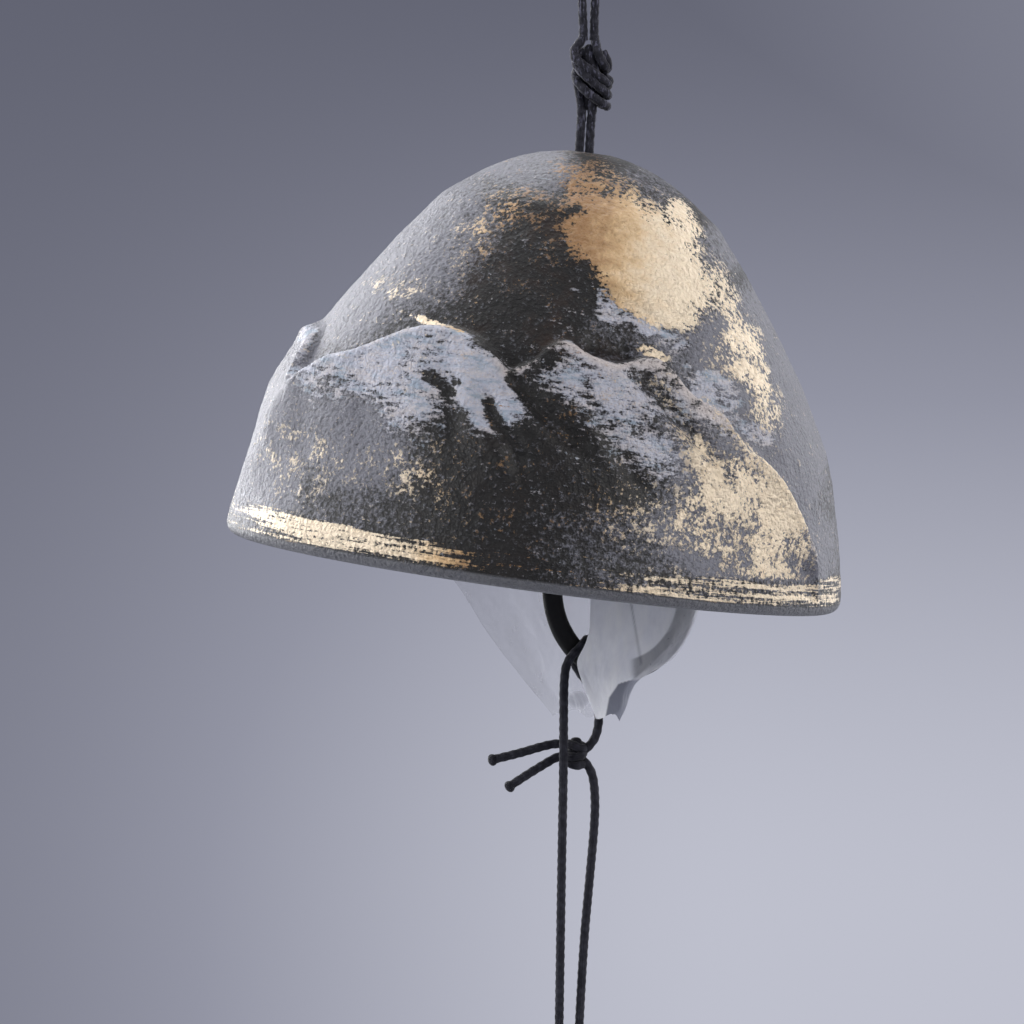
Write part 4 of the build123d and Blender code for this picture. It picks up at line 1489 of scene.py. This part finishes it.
    def lay(self, name: str, route: Sequence[Point], body: str, node: str) -> tuple[bpy.types.Object, np.ndarray]:
        """Lay one cord along its route.

        Args:
            name: the piece's name.
            route: its control points.
            body: the body that carries it, or nothing.
            node: the node that it stands for.

        Returns:
            The cord and the line that it follows.
        """
        line = route_line(name, route)
        cord = self.loom.tube(name, line, self.radius, self.material)
        dress(cord, body, node)
        return cord, line

    def strand(self, name: str, line: Iterable[Iterable[float]], share: float = 1.0) -> bpy.types.Object:
        """Lay one more strand along points in millimetres, at a share of the cord's thickness."""
        return self.loom.tube(name, np.array([tuple(point) for point in line]), self.radius * share, self.material)

    def wraps(self, name: str, knot: Knot) -> bpy.types.Object:
        """Wind a knot: a core of cord with turns round it.

        Args:
            name: the piece's name.
            knot: the knot. Each of its turns gives a level, a tilt in degrees, a radius and a sideways shift.

        Returns:
            The knot's mesh.
        """
        middle = Vector(knot.middle)
        parts = []
        for index, (level, tilt, radius, shift) in enumerate(knot.turns):
            line = []
            for turn in np.linspace(0.0, FULL_TURN, 41):
                wide = radius * (1.0 + 0.05 * math.sin(3.0 * turn + knot.seed + index))
                dip = 0.12 * math.sin(2.0 * turn + index)
                place = Vector((wide * math.cos(turn), radius * math.sin(turn), dip))
                place.rotate(Matrix.Rotation(math.radians(tilt), 3, "Y"))
                line.append(middle + place + Vector((shift, 0.0, level)))
            parts.append(self.strand(f"{name}_turn_{index}", line, 0.98))
        radius, height = knot.core
        rows, columns = 16, 20
        points = []
        for row in range(rows):
            rise = math.pi * (row + 0.5) / rows
            reach = radius * math.sin(rise) ** 0.6
            for turn in np.arange(columns) * (FULL_TURN / columns):
                place = Vector((reach * math.cos(turn), reach * math.sin(turn), height / 2.0 * math.cos(rise)))
                points.append(tuple(middle + place))
        parts.append(capped_rings(f"{name}_core", np.array(points), columns, True, self.material))
        return joined(name, parts)

    def hanging_loop(self) -> None:
        """Hang the doubled cord that goes over the hook."""
        cord, line = self.lay("hanging_cord", self.loop_route, "", "hanging_loop")
        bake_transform(cord)

    def upper_knot(self) -> None:
        """Tie the overhand knot above the crown from doubled strands."""
        strands = []
        for index, route in enumerate(self.knot_routes):
            strands.append(self.strand(f"overhand_{index}", route_line("knot", route)))
        knot = joined("overhand_knot", [self.wraps("overhand_middle", self.overhand), *strands])
        dress(knot, "knot", "upper_knot")

    def neck(self) -> None:
        """Lay the two strands from the upper knot into the crown, and the stopper knot under it."""
        stopper = Vector(self.stopper.middle)
        strands = []
        for index, side in enumerate((-0.5, 0.5)):
            apart = Vector((side * self.pitch, 0.0, 0.0))
            top = Vector(self.neck_top) + apart
            foot = stopper + Vector((0.0, 0.0, self.neck_foot)) + apart
            middle = (top + foot) / 2.0 + Vector((0.05 * side, 0.0, 0.0))
            line = route_line("neck", [tuple(top), tuple(middle), tuple(foot)])
            strands.append(self.strand(f"neck_strand_{index}", line))
        dress(joined("neck_strands", strands), "neck", "neck_cord")
        dress(self.wraps("stopper_bend", self.stopper), "neck", "stopper_knot")

    def lower_knot(self) -> None:
        """Tie the small knot under the clapper, with its two melted tails."""
        dress(self.wraps("granny_knot", self.granny), "streamer", "lower_knot")
        tails = (
            ("upper_tail", self.upper_tail, "knot_tail_upper"),
            ("lower_tail", self.lower_tail, "knot_tail_lower"),
        )
        for name, route, node in tails:
            line = route_line(name, route)
            tail = self.strand(name + "_braid", line)
            piece = joined(name, [tail, self.melted_end(name + "_end", line)])
            dress(piece, "streamer", node)

    def melted_end(self, name: str, line: np.ndarray) -> bpy.types.Object:
        """Make the melted bead on the end of a line."""
        end, before = Vector(line[-1]), Vector(line[-4])
        turn = (end - before).normalized().to_track_quat("Z", "Y")
        points, rows, columns = [], 12, 18
        for row in range(rows):
            rise = math.pi * (row + 0.5) / rows
            for column in range(columns):
                spin = FULL_TURN * column / columns
                bulge = 1.0 + 0.07 * math.sin(2.0 * spin + row * 0.5) + 0.05 * math.sin(3.0 * spin)
                reach = self.bead_radius * math.sin(rise) * bulge
                place = (reach * math.cos(spin), reach * math.sin(spin), 0.05 - self.bead_half * math.cos(rise))
                points.append(tuple(end + turn @ Vector(place)))
        return capped_rings(name, np.array(points), columns, False, self.material)

    def streamer(self) -> None:
        """Hang the long strands that carry the card, and lay the cord's turn on the card."""
        strands = (
            ("streamer_braid", self.streamer_route, "streamer_cord"),
            ("return_braid", self.return_route, "streamer_return"),
        )
        for name, route, node in strands:
            cord, line = self.lay(name, route, "", node)
            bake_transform(cord)
        self.lay("card_turn_braid", self.bight_route, "card", "card_bight")

    def clapper_line(self) -> None:
        """Hang the clapper's cord from the stopper knot, with the eye that holds the ring."""
        top = Vector(self.clapper_top)
        ring = ClapperRing()
        hitch, up = ring.hitch()
        eye_radius = ring.width / 2.0 + self.eye_clearance + self.radius
        knot_centre = hitch + up * (eye_radius + 2.0 - self.radius / 2.0)
        for name, side in (("clapper_strand_front", -0.5), ("clapper_strand_back", 0.5)):
            shift = Vector((0.0, side * self.pitch, 0.0))
            start, end = top + shift, knot_centre + shift
            route = [tuple(start), tuple((start + end) / 2.0), tuple(end)]
            cord, line = self.lay(name, route, "clapper_line", "clapper_cord")
        knot = self.wraps("hitch_knot", Knot(tuple(knot_centre), self.hitch_core, self.hitch_turns, 5))
        eye = []
        for turn in np.linspace(0.0, FULL_TURN, 49):
            aside = Vector((0.0, eye_radius * math.sin(turn), 0.0))
            eye.append(hitch + up * (eye_radius * math.cos(turn)) + aside)
        whole = joined("ring_hitch", [knot, self.strand("hitch_eye", eye)])
        dress(whole, "clapper_line", "clapper_hitch")

    def build(self) -> None:
        """Make every cord and knot."""
        self.hanging_loop()
        self.upper_knot()
        self.neck()
        self.clapper_line()
        self.streamer()
        self.lower_knot()


# ----------------------------------------------------------------------------
# Clapper
# ----------------------------------------------------------------------------


@dataclass
class ClapperRing:
    """The flat, slightly oval iron ring that strikes the bell."""

    centre: Point = (4.27, 0.0, -94.64)
    half_across: float = 10.1
    half_tall: float = 12.15
    width: float = 2.6
    thickness: float = 2.4
    edge: float = 0.7
    hitch_turn: float = math.radians(13.0)

    def hitch(self) -> tuple[Vector, Vector]:
        """Give the middle of the band under the hitch, and the way out of the ring there."""
        across, tall = self.half_across - self.width / 2.0, self.half_tall - self.width / 2.0
        left, up = math.sin(self.hitch_turn), math.cos(self.hitch_turn)
        away = Vector((-left / across, 0.0, up / tall)).normalized()
        return Vector(self.centre) + Vector((-across * left, 0.0, tall * up)), away

    def build(self, material: bpy.types.Material) -> bpy.types.Object:
        """Make the ring with slightly uneven hammered faces."""
        section = []
        half_w, half_t, inset = self.width / 2.0, self.thickness / 2.0, self.edge
        for start, right, front in ((0.0, 1, 1), (90.0, -1, 1), (180.0, -1, -1), (270.0, 1, -1)):
            x, y = right * (half_w - inset), front * (half_t - inset)
            for step in np.linspace(0.0, 90.0, 6):
                bend = math.radians(start + step)
                section.append((x + inset * math.cos(bend), y + inset * math.sin(bend)))
        across, tall = self.half_across - half_w, self.half_tall - half_w
        turns = 160
        points = []
        for turn in np.linspace(0.0, FULL_TURN, turns, endpoint=False):
            middle = Vector(self.centre) + Vector((across * math.cos(turn), 0.0, tall * math.sin(turn)))
            out = Vector((math.cos(turn) / across, 0.0, math.sin(turn) / tall)).normalized()
            for x, y in section:
                place = middle + out * x + Vector((0.0, y, 0.0))
                dent = 0.03 * noise.noise(place * 0.9)
                points.append(tuple(place + out * dent))
        faces = grid_faces(turns, len(section), True, True)[:, ::-1]
        ring = mesh_object("iron_ring", np.array(points), faces, material)
        dress(ring, "clapper", "clapper_ring")
        return ring


@dataclass
class FilmWrap:
    """The thin film left round the clapper: a gathered sheet, open at its front left."""

    centre: Point = (4.27, 0.0, -94.64)
    ring_half: float = 10.1
    ring_tall: float = 12.15
    top: float = -90.0
    height: float = 21.4
    back_depth: float = 4.85
    front_depth: float = 3.05
    edge_past: float = 0.35
    flat_width: float = 56.0
    crumple_share: float = 1.02
    hole_half: float = 8.8
    hole_tall: float = 10.83
    hole_mean: float = 9.6
    rows: int = 120
    columns: int = 250
    # Size of each crumple, its count along the film and down it, and where its pattern starts
    crumples: tuple[tuple[float, float, float, float], ...] = (
        (0.17, 22.0, 3.0, 3.1), (0.12, 55.0, 7.0, 8.7), (0.07, 90.0, 26.0, 1.7),
    )
    # Height of the folded-over leaf's left edge, and how far to the right it stands there
    leaf_edge: tuple[tuple[float, float], ...] = ((-111.2, 2.4), (-108.8, 2.85), (-107.0, 4.05), (-106.3, 6.3))
    # Share of the height; left edge, right bulge and front edge in halves of the ring's width; share of depth
    levels: tuple[tuple[float, float, float, float, float], ...] = (
        (0.0, -2.451, 1.081, -0.385, 1.0), (0.234, -2.063, 1.081, -0.40, 0.96), (0.467, -1.772, 0.993, -0.41, 1.0),
        (0.56, -1.62, 0.88, -0.47, 1.0), (0.654, -1.471, 0.70, -0.585, 0.98), (0.73, -1.34, 0.44, -0.54, 0.95),
        (0.765, -1.28, 0.25, -0.51, 0.94), (0.82, -1.195, 0.165, -0.475, 0.92), (0.88, -1.07, 0.12, -0.42, 0.90),
        (0.95, -0.94, 0.08, -0.36, 0.89), (1.0, -0.841, -0.02, -0.31, 0.88),
    )
    back: tuple[tuple[float, float], ...] = (
        (0.0, 0.3), (0.18, 0.92), (0.4, 0.8), (0.62, 1.0), (0.9, 0.6), (1.0, 0.24),
    )
    front: tuple[tuple[float, float], ...] = ((0.0, -0.3), (0.16, -0.86), (0.6, -0.84), (1.0, -1.0))

    def line(self, share: float, steps: np.ndarray) -> tuple[np.ndarray, np.ndarray]:
        """Give the film's line at one level.

        Args:
            share: of its height, from the top.
            steps: shares of the way along it, from its left edge round the back to its front edge.

        Returns:
            The x and y of each step.
        """
        table = np.array(self.levels)
        read = [float(rounded(table[:, 0], column, np.array(share), 0.05)) for column in table.T[1:]]
        left, right, front = (self.centre[0] + v * self.ring_half for v in read[:3])
        level = (self.top - share * self.height - self.centre[2]) / self.ring_tall
        if level > -0.85:
            edge = self.centre[0] + self.ring_half * math.sqrt(max(1.0 - level * level, 0.0))
            right = min(right, edge + self.edge_past)
        xs = [left + a * (right - left) for a, _ in self.back]
        xs += [right + a * (front - right) for a, _ in self.front]
        ys = [o * self.back_depth * read[3] for _, o in self.back]
        ys += [o * self.front_depth * read[3] for _, o in self.front]
        travel = travelled(xs, ys)
        travel /= travel[-1]
        return rounded(travel, xs, steps, 0.02), rounded(travel, ys, steps, 0.02)

    def build(self, material: bpy.types.Material) -> bpy.types.Object:
        """Make the crumpled sheet.

        Args:
            material: its finish.

        Returns:
            The film.
        """
        steps = np.linspace(0.0, 1.0, self.columns)
        points, tints = [], []
        for share in np.linspace(0.0, 1.0, self.rows):
            xs, ys = self.line(share, steps)
            level = self.top - share * self.height
            dx, dy = np.gradient(xs), np.gradient(ys)
            run = np.hypot(dx, dy)
            for index, step in enumerate(steps):
                place = Vector((xs[index], ys[index], level))
                on_front = ys[index] < 0.0
                crumple = sum(
                    size * noise.noise(Vector((step * along, share * down, start)))
                    for size, along, down, start in self.crumples
                )
                normal = Vector((-dy[index], dx[index], 0.0)) / run[index]
                place += normal * crumple * (0.7 if on_front else 1.2)
                place.z += 0.35 * math.sin(step * 31.0) * share**6 - 0.25 * math.cos(step * 17.0) * share**6
                points.append(tuple(place))
                tints.append(self.coat(place.x, place.z, on_front))
        faces = grid_faces(self.rows, self.columns, False, False)
        film = mesh_object("film_sheet", np.array(points), faces, material)
        for layer, values in zip(Haze, np.array(tints).T):
            store(film, layer, values)
        dress(film, "clapper", "film_wrap")
        return film

    def coat(self, x: float, z: float, on_front: bool) -> tuple[float, float, float]:
        """Give the film's milkiness, its painted fold shade with the ring's tint, and its mottle at one place.

        Args:
            x: its place to the right.
            z: its height.
            on_front: whether it lies on the film's front.

        Returns:
            The three coverages.
        """
        # The front's folded-over leaf, painted in shade, then the thin stretch over the ring
        heights, edges = np.array(self.leaf_edge).T
        side = np.interp(z, heights, edges)
        leaf = float(smooth(-0.15, 0.15, np.array(x - side)) * smooth(-106.2, -106.7, np.array(z)))
        from_middle = math.hypot((x - self.centre[0]) / self.hole_half, (z - self.centre[2]) / self.hole_tall)
        out = (from_middle - 1.0) * self.hole_mean
        ringed = float(smooth(5.4, 6.6, np.array(x)) * smooth(-1.5, -1.2, np.array(out))) * (1.0 - leaf)
        if on_front:
            # painted shade along a thin crease
            crease = (x - 5.85 + 0.168 * (z + 97.5)) / 0.13
            fold = math.exp(-(crease**2)) * float(smooth(-104.9, -104.0, np.array(z)))
            milk, tint = 0.97 - 0.42 * ringed + 0.1 * leaf, leaf + 0.6 * fold + 0.25 * ringed
            return min(1.0, milk), min(1.0, tint), ringed
        # painted shade on the lump of the back's fold
        lump = float(smooth(1.3, 0.7, np.array(math.hypot((x + 1.1) / 1.3, z + 109.6))))
        return 0.22 + 0.30 * lump + 0.5 * leaf, max(0.6 * lump, leaf), ringed


@dataclass
class WindCard:
    """The plain paper card below."""

    def build(self, material: bpy.types.Material) -> None:
        """Give the card its paper."""
        card = frame_node("wind_card")
        card.data.materials.clear()
        card.data.materials.append(material)
        LOG.info("wind_card keeps its own mesh")


def frame_node(name: str) -> bpy.types.Object:
    """Find the object of a CAD node."""
    return next(o for o in bpy.data.objects if o.get("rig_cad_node") == name or o.name == name)


def main() -> None:
    """Build the studio and every piece."""
    logging.basicConfig(level=logging.INFO, format="%(message)s")
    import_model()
    Studio().build()
    cord = BraidedCord().build()
    Bell().build(GildedIron().build())
    CordWork(loom=BraidLoom(), material=cord).build()
    ClapperRing().build(BlackIron().build())
    FilmWrap().build(MilkyFilm().build())
    WindCard().build(CardPaper().build())


if __name__ == "__main__":
    main()
